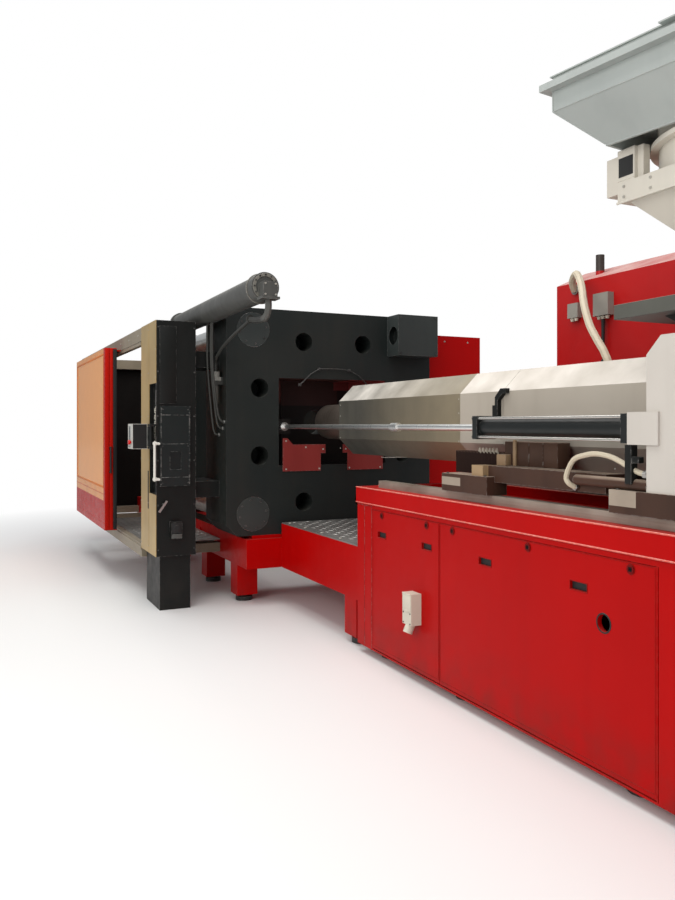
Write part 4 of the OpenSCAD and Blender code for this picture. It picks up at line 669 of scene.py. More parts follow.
# Painted shade: a thin black plate standing for the shadow along the seam.
seam_shadow_plate = bmesh.new()
box(seam_shadow_plate, at(-0.482, -1.6865, 0.895), at(-0.441, -1.6845, 1.245), 0.001)
piece("facing_seam_shadow", seam_shadow_plate, "frame", black_moulding)
screws(
    "facing_screws", [at(x, -1.685, z) for x in (-0.765, -0.455) for z in spaced(0.55, 2.55, 0.4)]
    + [at(-0.163, -1.685, z) for z in (0.55, 0.75, 0.95, 2.1, 2.35, 2.58)], (0, -1, 0), 0.006, 0.003)

# Panel on the column's side: a raised plate in grey paint with a pocket in it. Flat beads
# frame it, and screws hold its two long edges.
panel_grey = enamel(
    "panel_grey", (0.0105, 0.0145, 0.0145), (0.008, 0.0105, 0.0105), rough=0.36, mottle=0.5, dust=0.3,
    dust_and_lit_tops_colour=(0.1, 0.1, 0.095))
paint_zone(
    panel_grey, at(-0.1385, -1.561, 1.269), at(-0.1365, -1.459, 1.431), (0.006, 0.0065, 0.007), 0.4,
    softness=0.001)
dress("column_panel", panel_grey)
panel_trim = bmesh.new()
for y, z0, z1 in ((-1.640, 1.135, 1.825), (-1.385, 1.135, 1.825)):
    box(panel_trim, at(-0.132, y - 0.003, z0), at(-0.1305, y + 0.003, z1), 0.0005)
for z in (1.2, 1.5, 1.76):
    box(panel_trim, at(-0.132, -1.64, z - 0.0025), at(-0.1305, -1.385, z + 0.0025), 0.0005)
piece("panel_beads", panel_trim, "frame", panel_grey)
screws(
    "panel_screws", [at(-0.132, y, z) for y in (-1.627, -1.395) for z in (1.15, 1.48, 1.81)], (1, 0, 0),
    0.006, 0.003, screw_black)

# Connector strip in the column's recess: pale moulded blocks, each with two rows of pin
# holes, on a pale rail.
pale_moulding = enamel("pale_moulding", (0.62, 0.58, 0.48), (0.5, 0.46, 0.37), rough=0.45, wear=0, dust=0.2)
dress("connector_strip", pale_moulding)
pins = bmesh.new()
for k in range(11):
    z = 1.22 + 0.058 * k
    for row in (-1, 1):
        for j in range(5):
            x = -0.26 + 0.013 * (j - 2)
            rod(pins, at(x, -1.6655, z + row * 0.008), at(x, -1.667, z + row * 0.008), 0.0035, 8, 0.0)
piece("connector_pins", pins, "frame", black_moulding)
cap_block = bmesh.new()
box(cap_block, at(-0.30, -1.656, 1.85), at(-0.22, -1.6405, 1.99), 0.003)
piece("connector_cap", cap_block, "frame", machined_steel)

# Handle, latch lever and socket on the column: a bent tube in white paint with a washer at
# each foot, a turned steel lever, and a black moulded lid over the socket.
white_paint = enamel("white_paint", (0.70, 0.68, 0.62), (0.55, 0.52, 0.46), rough=0.35, wear=0.2, dust=0.15)
dress("column_handle", white_paint)
dress("column_latch", machined_steel)
feet = bmesh.new()
for z in (1.186, 1.504):
    collar(feet, at(-0.1498, -1.693, z), at(-0.144, -1.693, z), 0.0112, 0.021, 28, 0.001)
piece("handle_washers", feet, "frame", white_paint)
sockets = bmesh.new()
box(sockets, at(-0.0902, -1.552, 0.70), at(-0.0865, -1.468, 0.792), 0.003)
rod(sockets, at(-0.0865, -1.51, 0.746), at(-0.079, -1.51, 0.746), 0.028, 28)
piece("column_socket_lid", sockets, "frame", black_moulding)
foot_bar = bmesh.new()
box(foot_bar, at(-0.0902, -1.556, 0.656), at(-0.087, -1.464, 0.692), 0.002)
piece("column_socket_foot", foot_bar, "frame", grey_enamel)

# Rear column and end guard: folded sheet in red enamel, screwed together. The column stands
# across the platen from the operator's, and the guard closes the clamp's far end. The
# guard's inner face, towards the clamp, is darkened nearly to black as painted shade.
dress("rear_column", red_enamel)
end_red = enamel("end_red", **red_look)
# Painted shade: the end guard's inner face, darkened nearly to black.
paint_zone(
    end_red, at(-4.9215, -1.56, 0.4), at(-4.91, 1.56, 2.6), (0.014, 0.012, 0.011), 0.5, softness=0.0005)
dress("end_guard", end_red)
screws(
    "end_guard_screws", [at(-4.935, y, z) for y in (-1.55, -0.8, 0.0, 0.8, 1.55) for z in (0.62, 2.42)],
    (-1, 0, 0), 0.009, 0.005)
screws(
    "rear_column_screws", [at(-0.15, y, z) for y in (1.36, 1.65) for z in spaced(0.98, 2.55, 0.4)],
    (1, 0, 0), 0.008, 0.004)

# Injection base: a welded box in red enamel, with a projecting ledge along its top. Its
# rolled edges are thin tubes in red paint lightened to pink, a painted highlight.
dress("injection_base", red_enamel)
# Painted highlight: a pale pinkish red, with pale dust and bare colours, for the ledge's edges.
painted_highlight_red = enamel(
    "painted_highlight_red", (0.66, 0.10, 0.07), (0.50, 0.03, 0.02), rough=0.3, mottle=0.5, dust=0.9, wear=0.8,
    dust_and_lit_tops_colour=(0.72, 0.42, 0.35), bare=(0.7, 0.34, 0.28), edge=0.01)
ledge = bmesh.new()
for side in (-1, 1):
    for z in (1.2135, 1.1035):
        tube(
            ledge, [at(1.701, side * 0.6115, z), at(4.0, side * 0.6115, z), at(6.599, side * 0.6115, z)],
            0.0042, 10)
    tube(ledge, [at(1.72, side * 0.435, 1.2175), at(6.58, side * 0.435, 1.2175)], 0.004, 8)
for z in (1.2135, 1.1035):
    tube(ledge, [at(1.7015, -0.606, z), at(1.7015, 0.606, z)], 0.0035, 10)
piece("ledge_edges", ledge, "frame", painted_highlight_red)
seams = bmesh.new()
for x in (1.815, 1.925):
    box(seams, at(x - 0.0015, -0.6012, 0.075), at(x + 0.0015, -0.5995, 1.085), 0.0)
box(seams, at(1.705, -0.6012, 1.0855), at(1.93, -0.5995, 1.0885), 0.0)
seam_red = enamel("seam_red", (0.10, 0.004, 0.004), (0.06, 0.003, 0.003), rough=0.5)
piece("base_seams", seams, "frame", seam_red)
screws(
    "base_end_screws", [at(1.7, y, z) for y in (-0.55, 0.55) for z in (0.85, 1.05)], (-1, 0, 0), 0.010,
    0.005)

# Rails of the carriage: ground way strips, screwed down along their middle. The carriage's
# oil and dust have turned them brown.
way_steel = sheet_metal(
    "way_steel", (0.46, 0.41, 0.34), (0.16, 0.11, 0.08), lines=(1, 40, 40), stain=0.8, rough=0.32,
    metal=0.5)
dress("base_rails", way_steel)
for side, name in ((-1, "near"), (1, "far")):
    screws(
        "rail_way_screws_" + name, [at(x, side * 0.5, 1.2674) for x in spaced(1.96, 6.48, 0.2)], (0, 0, 1),
        0.0095, 0.0008, screw_black)

# Carriage rods and their anchors on the platen: hard chromed bars, ground smooth. The
# carriage pulls itself along them to the platen.
dress("carriage_rods", ground_steel)

# Power cabinet behind the machine: red sheet with flat doors, a ridged roof, a pipe stack
# and two terminal boxes with cable glands.
cabinet_red = enamel(
    "cabinet_red", (0.42, 0.004, 0.004), (0.30, 0.003, 0.003), rough=0.4, coat=0.05, dust=0.9, wear=0.3,
    dust_and_lit_tops_colour=(0.60, 0.46, 0.42), bare=(0.55, 0.2, 0.16))
stack_dark = (0.055, 0.045, 0.04)
paint_zone(cabinet_red, at(2.14, 1.26, 2.88), at(2.22, 1.34, 3.02), stack_dark, 0.5, softness=0.004)
for low, high in (
    (at(2.32, 1.085, 2.49), at(2.485, 1.149, 2.67)), (at(2.02, 1.10, 2.51), at(2.145, 1.149, 2.635))):
    paint_zone(cabinet_red, low, high, (0.33, 0.31, 0.27), 0.45, softness=0.001)
dress("power_cabinet", cabinet_red)
glands = bmesh.new()
for x, y, z in (
    (2.36, 1.12, 2.495), (2.40, 1.12, 2.495), (2.445, 1.12, 2.495), (2.06, 1.127, 2.515),
    (2.105, 1.127, 2.515)):
    rod(glands, at(x, y, z - 0.026), at(x, y, z), 0.014, 12)
    rod(glands, at(x, y, z - 0.012), at(x, y, z - 0.004), 0.018, 6, 0.001)
piece("cable_glands", glands, "frame", pale_moulding)
down_cable = bmesh.new()
down_route = [
    at(2.40, 1.12, 2.48), at(2.402, 1.118, 2.40), at(2.405, 1.115, 2.30), at(2.405, 1.118, 2.20),
    at(2.405, 1.132, 2.14)]
tube(down_cable, down_route, 0.013, 12)
box(down_cable, at(2.38, 1.118, 2.125), at(2.43, 1.15, 2.165), 0.003)
piece("cabinet_cable", down_cable, "frame", black_moulding)
doors = bmesh.new()
for x in spaced(1.95, 5.45, 0.7):
    box(doors, at(x - 0.002, 1.7495, 0.2), at(x + 0.002, 1.7512, 2.72), 0.0)
for z in (0.2, 2.72):
    box(doors, at(1.95, 1.7497, z - 0.002), at(5.45, 1.7512, z + 0.002), 0.0)
piece("cabinet_door_seams", doors, "frame", seam_red)
knobs = bmesh.new()
for x in spaced(1.95, 5.45, 0.7)[:-1]:
    for z in (0.8, 1.9):
        rod(knobs, at(x + 0.05, 1.75, z), at(x + 0.05, 1.764, z), 0.017, 20)
        box(knobs, at(x + 0.046, 1.762, z - 0.014), at(x + 0.054, 1.772, z + 0.014), 0.002)
piece("cabinet_locks", knobs, "frame", black_moulding)

# Hydraulic hoses: a thick rubber hose in a beige sleeve to the cabinet, and steel and rubber
# lines from the upper traverse cylinder down to its valve.
hose_cover = enamel("hose_cover", (0.55, 0.48, 0.36), (0.42, 0.36, 0.27), rough=0.6, wear=0, dust=0.2)
line_cover = enamel("line_cover", (0.55, 0.48, 0.36), (0.42, 0.36, 0.27), rough=0.5, wear=0, dust=0.2)
paint_zone(line_cover, at(-0.3, -1.45, 1.4), at(1.6, -1.06, 2.7), (0.05, 0.05, 0.045), 0.42, softness=0.001)
paint_zone(line_cover, at(1.3, -1.3, 2.3), at(1.6, -1.06, 2.75), (0.11, 0.11, 0.10), 0.4, softness=0.05)
paint_zone(
    line_cover, at(-0.17, -1.2, 2.075), at(-0.08, -1.1, 2.162), (0.30, 0.29, 0.26), 0.4, softness=0.004)
paint_zone(
    line_cover, at(-0.16, -1.2, 1.868), at(-0.09, -1.1, 2.03), (0.12, 0.115, 0.10), 0.4, softness=0.004)
dress("hydraulic_hoses", line_cover)
clips = bmesh.new()
for x, z in ((-0.04, 1.70), (-0.085, 1.64), (-0.2, 1.58)):
    rod(clips, at(x, -1.080, z), at(x, -1.094, z), 0.017, 6, 0.001)
collar(clips, at(3.22, 0.8, 0.5205), at(3.22, 0.8, 0.545), 0.0285, 0.04, 32)
collar(clips, at(2.08, 1.1495, 2.74), at(2.08, 1.128, 2.74), 0.0285, 0.04, 32)
piece("hose_fittings", clips, "frame", machined_steel)

# Guard at the nozzle: two stepped plates cut from sheet, in a faded red. They are screwed
# to the platen's rear face.
step_red = enamel(
    "step_red", (0.235, 0.030, 0.026), (0.17, 0.018, 0.016), rough=0.4, dust=0.5,
    dust_and_lit_tops_colour=(0.45, 0.25, 0.22))
dress("nozzle_guard", step_red)
step_seats = ((0.12, 1.44), (0.16, 1.255), (0.5, 1.255), (0.5, 1.52), (0.3, 1.46))
step_places = [at(0.012, side * y, z) for side in (-1, 1) for y, z in step_seats]
screws("nozzle_guard_screws", step_places, (1, 0, 0), 0.008, 0.004)

# Left cover of the base: a red sheet panel with a rolled lower edge, two recessed grips
# and two quarter-turn latches.
cover_red = enamel("cover_red", **dict(red_look, colour=(0.40, 0.0011, 0.001), mottle=0.6, wear=0.08))
fold_red = enamel(
    "fold_red", **dict(red_look, colour=(0.27, 0.003, 0.002), shade=(0.16, 0.003, 0.002), wear=0.08))


def cover_trims(name, low_x, high_x, grips, latches, body):
    trims = bmesh.new()
    for x in grips:
        box(trims, at(x - 0.0575, -0.5866, 0.8805), at(x + 0.0575, -0.5848, 0.9195), 0.0)
    piece(name + "_grip_backs", trims, body, black_moulding)
    rims = bmesh.new()
    for x in grips:
        for z in (0.9215, 0.8785):
            tube(rims, [at(x - 0.059, -0.6006, z), at(x, -0.6006, z), at(x + 0.059, -0.6006, z)], 0.0022, 8)
        for dx in (-0.059, 0.059):
            tube(
                rims, [at(x + dx, -0.6006, 0.8785), at(x + dx, -0.6006, 0.90), at(x + dx, -0.6006, 0.9215)],
                0.0022, 8)
    for z in (1.0625, 0.1):
        tube(
            rims,
            [at(low_x + 0.012, -0.6, z), at((low_x + high_x) / 2, -0.6, z), at(high_x - 0.012, -0.6, z)],
            0.0016, 8)
    for x in (low_x + 0.006, high_x - 0.006):
        tube(rims, [at(x, -0.6, 0.1), at(x, -0.6, 0.6), at(x, -0.6, 1.06)], 0.0016, 8)
    piece(name + "_pressed_edges", rims, body, fold_red)
    seats = bmesh.new()
    for x in latches:
        collar(seats, at(x, -0.6012, 1.035), at(x, -0.5992, 1.035), 0.0213, 0.026, 28, 0.0005)
    piece(name + "_latch_seats", seats, body, fold_red)


dress("cover_left", cover_red)
left_latches = (2.0795, 2.6705)
cover_trims("left_cover", 1.9365, 2.8135, left_latches, left_latches, "cover_left")

# Service socket on the left cover: a cream moulded box with a hinged lid and a round inlet
# that points down.
dress("service_socket", pale_moulding)
socket_bits = bmesh.new()
box(socket_bits, at(2.499, -0.6785, 0.478), at(2.601, -0.6745, 0.584), 0.004)
rod(socket_bits, at(2.50, -0.677, 0.588), at(2.60, -0.677, 0.588), 0.0045, 14, 0.001)
box(socket_bits, at(2.530, -0.682, 0.474), at(2.570, -0.676, 0.488), 0.002)
piece("socket_lid", socket_bits, "cover_left", pale_moulding)
screws(
    "socket_screws", [at(x, -0.675, z) for x in (2.508, 2.592) for z in (0.40, 0.465)], (0, -1, 0), 0.005,
    0.003, screw_black, "cover_left")

# Middle cover of the base: a red sheet panel folded, hung and latched as the left one, with
# a round port for a cable.
dress("cover_middle", cover_red)
middle_mid = (2.82 + 4.5135) / 2
middle_grips = (middle_mid - 0.375, middle_mid + 0.375)
middle_latches = (2.963, middle_mid, 4.3705)
cover_trims("middle_cover", 2.8215, 4.5125, middle_grips, middle_latches, "cover_middle")
port_rim = bmesh.new()
collar(
    port_rim, at(middle_mid + 0.54, -0.6022, 0.761), at(middle_mid + 0.54, -0.5992, 0.761), 0.0402, 0.0475,
    32, 0.001)
piece("cable_port_rim", port_rim, "cover_middle", black_moulding)

# Quarter-turn latches: red heads with a dark slot for a key. The cam behind turns with
# its head.
latch_red = enamel(
    "latch_red", **dict(red_look, colour=(0.16, 0.003, 0.003), shade=(0.10, 0.003, 0.003), wear=0.1))
for k, x in enumerate(left_latches + middle_latches):
    paint_zone(
        latch_red, at(x - 0.0125, -0.7, 1.0225), at(x + 0.0125, -0.5, 1.0475), (0.006, 0.006, 0.006), 0.5,
        softness=0.004)
    dress("latch_%d" % (k + 1), latch_red)

# Operator panel on its arm: a light sheet box with a dark screen above two rows of keys. A
# red mushroom button sits beside them.
light_enamel = enamel("light_enamel", (0.58, 0.56, 0.51), (0.44, 0.42, 0.38), rough=0.42, dust=0.25, wear=0.3)
panel_light = enamel("panel_light", (0.52, 0.51, 0.47), (0.40, 0.39, 0.36), rough=0.4, dust=0.2, wear=0.25)
paint_zone(
    panel_light, at(-0.2535, -1.8675, 1.458), at(-0.249, -1.742, 1.677), (0.016, 0.016, 0.016), 0.4,
    softness=0.0006)
dress("hmi_arm", black_enamel)
dress("hmi_panel", panel_light)
screen_grey = enamel("screen_grey", (0.20, 0.22, 0.22), (0.14, 0.15, 0.155), rough=0.3, dust=0.1, wear=0)
face_parts = bmesh.new()
box(face_parts, at(-0.4395, -1.8652, 1.5155), at(-0.3505, -1.8638, 1.6595), 0.0)
for row in range(2):
    for k in range(6):
        x = -0.437 + 0.0148 * k
        box(face_parts, at(x, -1.8725, 1.468 + 0.02 * row), at(x + 0.011, -1.8695, 1.482 + 0.02 * row), 0.001)
piece("panel_keys", face_parts, "hmi", screen_grey)


def clouded(name, low, high, scale, rough):
    mat = bpy.data.materials.new(name)
    mat.use_nodes = True
    tree = mat.node_tree
    shader = tree.nodes["Principled BSDF"]
    place = node(tree, "ShaderNodeTexCoord").outputs["Object"]
    cloud = node(tree, "ShaderNodeTexNoise", {"Vector": place, "Scale": scale}).outputs["Fac"]
    mix = node(tree, "ShaderNodeMix", {"Factor": cloud, "A": (*low, 1), "B": (*high, 1)}, data_type="RGBA")
    tree.links.new(mix.outputs["Result"], shader.inputs["Base Color"])
    shader.inputs["Roughness"].default_value = rough
    return mat


glass_dark = clouded("screen_glass", (0.012, 0.016, 0.017), (0.03, 0.036, 0.038), 9, 0.08)
screen = bmesh.new()
box(screen, at(-0.432, -1.8662, 1.528), at(-0.358, -1.8648, 1.648), 0.0)
piece("panel_screen", screen, "hmi", glass_dark)
edge_strip = bmesh.new()
for z in (1.4565, 1.6785):
    tube(edge_strip, [at(-0.4585, -1.8688, z), at(-0.355, -1.8688, z), at(-0.2515, -1.8688, z)], 0.0018, 8)
collar(edge_strip, at(-0.30, -1.8705, 1.515), at(-0.30, -1.8745, 1.515), 0.0212, 0.027, 32, 0.001)
piece("panel_edge", edge_strip, "hmi", panel_light)
button_red = enamel("button_red", (0.6, 0.01, 0.008), (0.45, 0.01, 0.008), rough=0.2, wear=0, dust=0.1)
dress("emergency_button", button_red)

# Moving platen with its guides, split nuts and ejector: a second grey casting that slides
# on the bed. The nuts' halves and the crosshead are bare machined steel.
dress("moving_platen", dark_enamel)
dress("lock_guides", dark_enamel)
for name in ("lock_nuts_near", "lock_nuts_far", "ejector_crosshead"):
    dress(name, machined_steel)
dress("traverse_rods", ground_steel)
dress("ejector_cylinder", grey_enamel)

# Front gate: a sliding door folded from red sheet, with a rounded leading edge and a black
# rubber stile. Its outer face is painted orange down to a little under the window, a painted
# reflection on the glossy red sheet, and is red below. Blind rivets run round the window's
# opening.
gate_look = dict(
    colour=(0.44, 0.010, 0.005), shade=(0.34, 0.007, 0.004), rough=0.25, dust=0.3, wear=0.2,
    dust_and_lit_tops_colour=(0.5, 0.14, 0.10), bare=(0.58, 0.12, 0.09), bump=0.04, gloss=0.04)
gate_enamel = enamel("gate_enamel", **gate_look)
reflection_orange = (0.90, 0.38, 0.12)
front_enamel = enamel("front_gate_enamel", **gate_look)
# Painted reflection: orange over the outer face from a little under the window up.
paint_zone(
    front_enamel, at(-3.975, -1.8756, 0.86), at(-1.815, -1.8742, 2.6), reflection_orange, 0.16, softness=0.0005)
rear_enamel = enamel("rear_gate_enamel", **gate_look)
# Painted shade: all of the rear gate but its outer face, darkened nearly to black.
paint_zone(
    rear_enamel, at(-3.05, 1.70, 0.5), at(-0.75, 1.8716, 2.6), (0.013, 0.011, 0.010), 0.5, softness=0.0004)
seal_brown = enamel(
    "seal_brown", (0.62, 0.20, 0.06), (0.5, 0.15, 0.04), rough=0.4, wear=0, dust=0.1, gloss=0.05)
rubber_black = enamel("rubber_black", (0.010, 0.010, 0.010), (0.02, 0.02, 0.02), rough=0.62, wear=0, dust=0.2)


def rivet_shape(tree, given):
    ball = node(tree, "GeometryNodeMeshUVSphere", {"Segments": 12, "Rings": 6, "Radius": given["Radius"]})
    flat = node(tree, "ShaderNodeCombineXYZ", {"X": 1, "Y": 1, "Z": given["Flatness"]}).outputs[0]
    return node(tree, "GeometryNodeTransform", {
        "Geometry": ball.outputs["Mesh"], "Scale": flat}).outputs["Geometry"]


blind_rivets = scattered("blind_rivets", ("Radius", "Flatness"), rivet_shape, "Rivets", smooth=True)


def rivets(name, places, direction, radius, material=screw_zinc, body="carriage"):
    values = {"Radius": radius, "Flatness": 0.35, "Facing": facing(direction), "Material": material}
    return grown(name, blind_rivets, places, values, body)


def gate_trims(name, x0, side, body):
    face_y, x1 = side * 1.875, x0 + 2.24
    back = -side
    edge = bmesh.new()
    box(
        edge, at(x1 - 0.001, face_y + back * 0.002, 0.556), at(x1 + 0.011, face_y + back * 0.043, 2.484),
        0.005)
    box(
        edge, at(x1 - 0.001, face_y + back * 0.052, 0.556), at(x1 + 0.007, face_y + back * 0.082, 2.484),
        0.003)
    piece(name + "_leading_edge", edge, body, gate_enamel)
    stile = bmesh.new()
    box(
        stile, at(x1 - 0.001, face_y + back * 0.086, 0.56), at(x1 + 0.014, face_y + back * 0.124, 2.48),
        0.005)
    piece(name + "_stile", stile, body, rubber_black)
    gasket = bmesh.new()
    wx0, wx1, wz0, wz1 = x0 + 0.07, x1 - 0.09, 1.0, 2.43
    y0, y1 = face_y + back * 0.0045, face_y - back * 0.0018
    lip, lap = 0.006, 0.012
    left, right, low, high = wx0 - lip, wx1 + lip, wz0 - lip, wz1 + lip
    strips = ((left, low, right, wz0 + lap), (left, wz1 - lap, right, high))
    strips += ((left, wz0 + 0.01, wx0 + lap, wz1 - 0.01), (wx1 - lap, wz0 + 0.01, right, wz1 - 0.01))
    for u0, v0, u1, v1 in strips:
        box(gasket, at(u0, min(y0, y1), v0), at(u1, max(y0, y1), v1), 0.001)
    piece(name + "_gasket", gasket, body, seal_brown)
    places = [
        at(x, face_y, z) for z in (wz0 - 0.03, wz1 + 0.03) for x in spaced(wx0 - 0.02, wx1 + 0.02, 0.21)]
    places += [at(x, face_y, z) for x in (wx0 - 0.03, wx1 + 0.03) for z in spaced(wz0 + 0.1, wz1 - 0.1, 0.2)]
    rivets(name + "_rivets", places, (0, side, 0), 0.004, seal_brown, body)
    folds = bmesh.new()
    for z in (0.62, 0.93):
        tube(folds, [at(x0 + 0.03, face_y, z), at(x0 + 1.1, face_y, z), at(x1 - 0.03, face_y, z)], 0.0025, 8)
    piece(name + "_folds", folds, body, gate_enamel)


dress("front_gate", front_enamel)
gate_trims("front_gate", -3.97, -1, "front_gate")

# Windows of the gates: amber plastic sheet, a little smeared. It lies on the inner side of
# the gate's sheet, behind the opening.
amber = bpy.data.materials.new("amber_pane")
amber.use_nodes = True
pane = amber.node_tree
amber_shader = pane.nodes["Principled BSDF"]
for key, value in (
    ("Base Color", (0.92, 0.40, 0.12, 1)), ("Transmission Weight", 0.15), ("Specular IOR Level", 0.05)):
    amber_shader.inputs[key].default_value = value
pane_place = node(pane, "ShaderNodeTexCoord").outputs["Object"]
smear = node(pane, "ShaderNodeTexNoise", {"Vector": pane_place, "Scale": 6}).outputs["Fac"]
smears = node(pane, "ShaderNodeMapRange", {"Value": smear, "To Min": 0.12, "To Max": 0.24}).outputs[0]
pane.links.new(smears, amber_shader.inputs["Roughness"])
for name in ("front_window", "rear_window"):
    dress(name, amber)

# Handle of the front gate: a round bar in black plastic. An arm at each end holds it off
# the gate's leading edge.
dress("gate_handle", black_moulding)

# Rear gate: a door folded from sheet as the front one, on the far side of the clamp. Its
# outer face is red all over; the rest of it is darkened nearly to black as painted shade.
dress("rear_gate", rear_enamel)
gate_trims("rear_gate", -3.02, 1, "rear_gate")

# Injection carriage: shoes and beams in brown paint under oily dust, with light worn ends.
# Their upward faces are paler, partly from the dust and partly as painted light on the tops.
# A bellows, a cable duct and a valve post stand along its near side.
# Upward faces are paled strongly: partly dust, partly painted light on the tops.
brown_enamel = enamel(
    "brown_enamel", (0.070, 0.034, 0.022), (0.032, 0.017, 0.012), rough=0.45, mottle=0.9, dust=1.4,
    dust_and_lit_tops_colour=(0.34, 0.26, 0.20), gloss=0.2)
for x0, x1, z0, z1 in ((2.798, 3.0, 1.305, 1.355), (4.205, 4.37, 1.302, 1.377)):
    paint_zone(
        brown_enamel, at(x0, -0.5715, z0), at(x1, -0.5685, z1), (0.40, 0.33, 0.26), 0.45, softness=0.0008)
paint_zone(
    brown_enamel, at(3.086, -0.56, 1.3755), at(3.204, -0.30, 1.437), (0.40, 0.27, 0.15), 0.4,
    softness=0.0008)
dress("carriage_frame", brown_enamel)
fold_brown = enamel(
    "fold_brown", (0.020, 0.010, 0.008), (0.04, 0.02, 0.015), rough=0.7, wear=0, dust=0.5,
    dust_and_lit_tops_colour=(0.12, 0.08, 0.06), edge=0.002, gloss=0.1)
bellows = bmesh.new()
folds, fold_x0, fold_x1 = 13, 2.725, 3.165
outline = []
for k in range(folds):
    outline += [
        (fold_x0 + (fold_x1 - fold_x0) * k / folds, 0.0),
        (fold_x0 + (fold_x1 - fold_x0) * (k + 0.5) / folds, 0.012)]
outline.append((fold_x1, 0.0))
for a, b in zip(outline, outline[1:]):
    y_a, y_b, z_a, z_b = -0.415 - a[1], -0.415 - b[1], 1.498 + a[1], 1.498 + b[1]
    points = [at(a[0], -0.33, z_a), at(a[0], y_a, z_a), at(a[0], y_a, 1.375), at(a[0], -0.33, 1.375)]
    others = [at(b[0], -0.33, z_b), at(b[0], y_b, z_b), at(b[0], y_b, 1.375), at(b[0], -0.33, 1.375)]
    ring_a, ring_b = [bellows.verts.new(p) for p in points], [bellows.verts.new(p) for p in others]
    for k in range(4):
        bellows.faces.new((ring_a[k], ring_a[(k + 1) % 4], ring_b[(k + 1) % 4], ring_b[k]))
    if a is outline[0]:
        bellows.faces.new(ring_a)
    if b is outline[-1]:
        bellows.faces.new(ring_b)
bmesh.ops.remove_doubles(bellows, verts=bellows.verts, dist=0.00001)
piece("carriage_bellows", bellows, "carriage", fold_brown)
fold_light = enamel("fold_light", (0.36, 0.32, 0.26), (0.26, 0.22, 0.18), rough=0.5, wear=0, dust=0.2)
teeth = bmesh.new()
for k in range(7, folds):
    x = fold_x0 + (fold_x1 - fold_x0) * k / folds
    step = (fold_x1 - fold_x0) / folds
    corners = [(x + 0.002, 1.50), (x + step / 2, 1.535), (x + step - 0.002, 1.50)]
    prism(teeth, corners, lambda a, b: at(a, -0.418, b), lambda a, b: at(a, -0.408, b))
piece("bellows_edge", teeth, "carriage", fold_light)
duct_brown = enamel(
    "duct_brown", (0.085, 0.045, 0.030), (0.04, 0.022, 0.016), rough=0.45, mottle=0.9, dust=1.0,
    dust_and_lit_tops_colour=(0.24, 0.17, 0.13), gloss=0.2)
duct = bmesh.new()
box(duct, at(3.205, -0.40, 1.4365), at(3.66, -0.312, 1.575), 0.005)
for x in (3.30, 3.42, 3.54):
    box(duct, at(x, -0.4035, 1.44), at(x + 0.006, -0.398, 1.57), 0.001)
piece("cable_duct", duct, "carriage", duct_brown)
small_parts = bmesh.new()
box(small_parts, at(3.18, -0.44, 1.4365), at(3.265, -0.395, 1.50), 0.004)
box(small_parts, at(3.295, -0.412, 1.4365), at(3.32, -0.399, 1.585), 0.003)
block_tan = enamel(
    "block_tan", (0.36, 0.24, 0.14), (0.25, 0.16, 0.09), rough=0.45, dust=0.5,
    dust_and_lit_tops_colour=(0.45, 0.36, 0.26))
piece("carriage_blocks", small_parts, "carriage", block_tan)
post = bmesh.new()
box(post, at(4.305, -0.573, 1.405), at(4.345, -0.533, 1.582), 0.004)
box(post, at(4.335, -0.57, 1.50), at(4.385, -0.536, 1.53), 0.004)
piece("valve_post", post, "carriage", black_enamel)
shoe_seats = []
for x0, x1 in ((2.8, 3.265), (4.207, 4.672), (5.105, 5.57)):
    for side in (-1, 1):
        for x in (x0 + 0.04, x1 - 0.04):
            shoe_seats.append(at(x, side * 0.553, 1.375))
screws("shoe_screws", shoe_seats, (0, 0, 1), 0.009, 0.006, screw_black, "carriage")

# Barrel, screw and nozzle: turned from nitrided steel. Band heaters are clamped round the
# barrel, and their heat has tinted it.
hot_steel = sheet_metal(
    "hot_steel", (0.30, 0.26, 0.22), (0.16, 0.13, 0.11), lines=(20, 4, 4), stain=0.7, rough=0.45)
dress("barrel", hot_steel)
dress("nozzle", machined_steel)
dress("screw", machined_steel)

# Guard over the barrel: light painted sheet folded to the barrel's corners, with a bare
# steel length at the nozzle end. On both, the upward faces are paler, partly from dust and
# partly as painted light on the tops. A dark hook and rivets hold its joint.
# Upward faces are paled strongly here and in the painted length below: partly dust, partly painted light.
nose_sheet = enamel(
    "nose_sheet", (0.085, 0.080, 0.066), (0.035, 0.034, 0.030), rough=0.36, mottle=1.0, dust=1.6, wear=0.25,
    grime=0, dust_and_lit_tops_colour=(0.62, 0.58, 0.52), bare=(0.5, 0.47, 0.42), bump=0.08, gloss=0.5)
paint_zone(nose_sheet, at(1.15, -5, -5), at(7, 5, 8), (0.30, 0.245, 0.155), 0.3, softness=1.4, strength=0.85)
guard_light = enamel(
    "guard_light", (0.42, 0.375, 0.315), (0.33, 0.29, 0.235), rough=0.36, mottle=0.6, dust=1.6, wear=0.25,
    grime=0, dust_and_lit_tops_colour=(0.72, 0.67, 0.61), bump=0.08)
dress("barrel_guard", guard_light)
dress("guard_nose", nose_sheet)
dress("guard_latch", black_enamel)
for name, side, top in (("near", -1, 1.72), ("far", 1, 1.80)):
    joint = [at(x, side * 0.3, z) for x in (3.02, 3.1) for z in spaced(1.50, top, 0.07)]
    joint += [at(x, side * 0.3, 1.45) for x in spaced(2.65, 4.3, 0.33)]
    rivets("guard_rivets_" + name, joint, (0, side, 0), 0.005)
nose_joint = [at(x, -0.3, z) for x in (2.585, 0.775) for z in spaced(1.47, 1.84, 0.09)]
rivets("nose_rivets", nose_joint, (0, -1, 0), 0.005)
top_joint = [at(x, y, 2.01) for x in (0.775, 2.585, 2.62, 3.02, 3.1, 4.38) for y in (-0.13, 0.0, 0.13)]
rivets("top_rivets", top_joint, (0, 0, 1), 0.005)

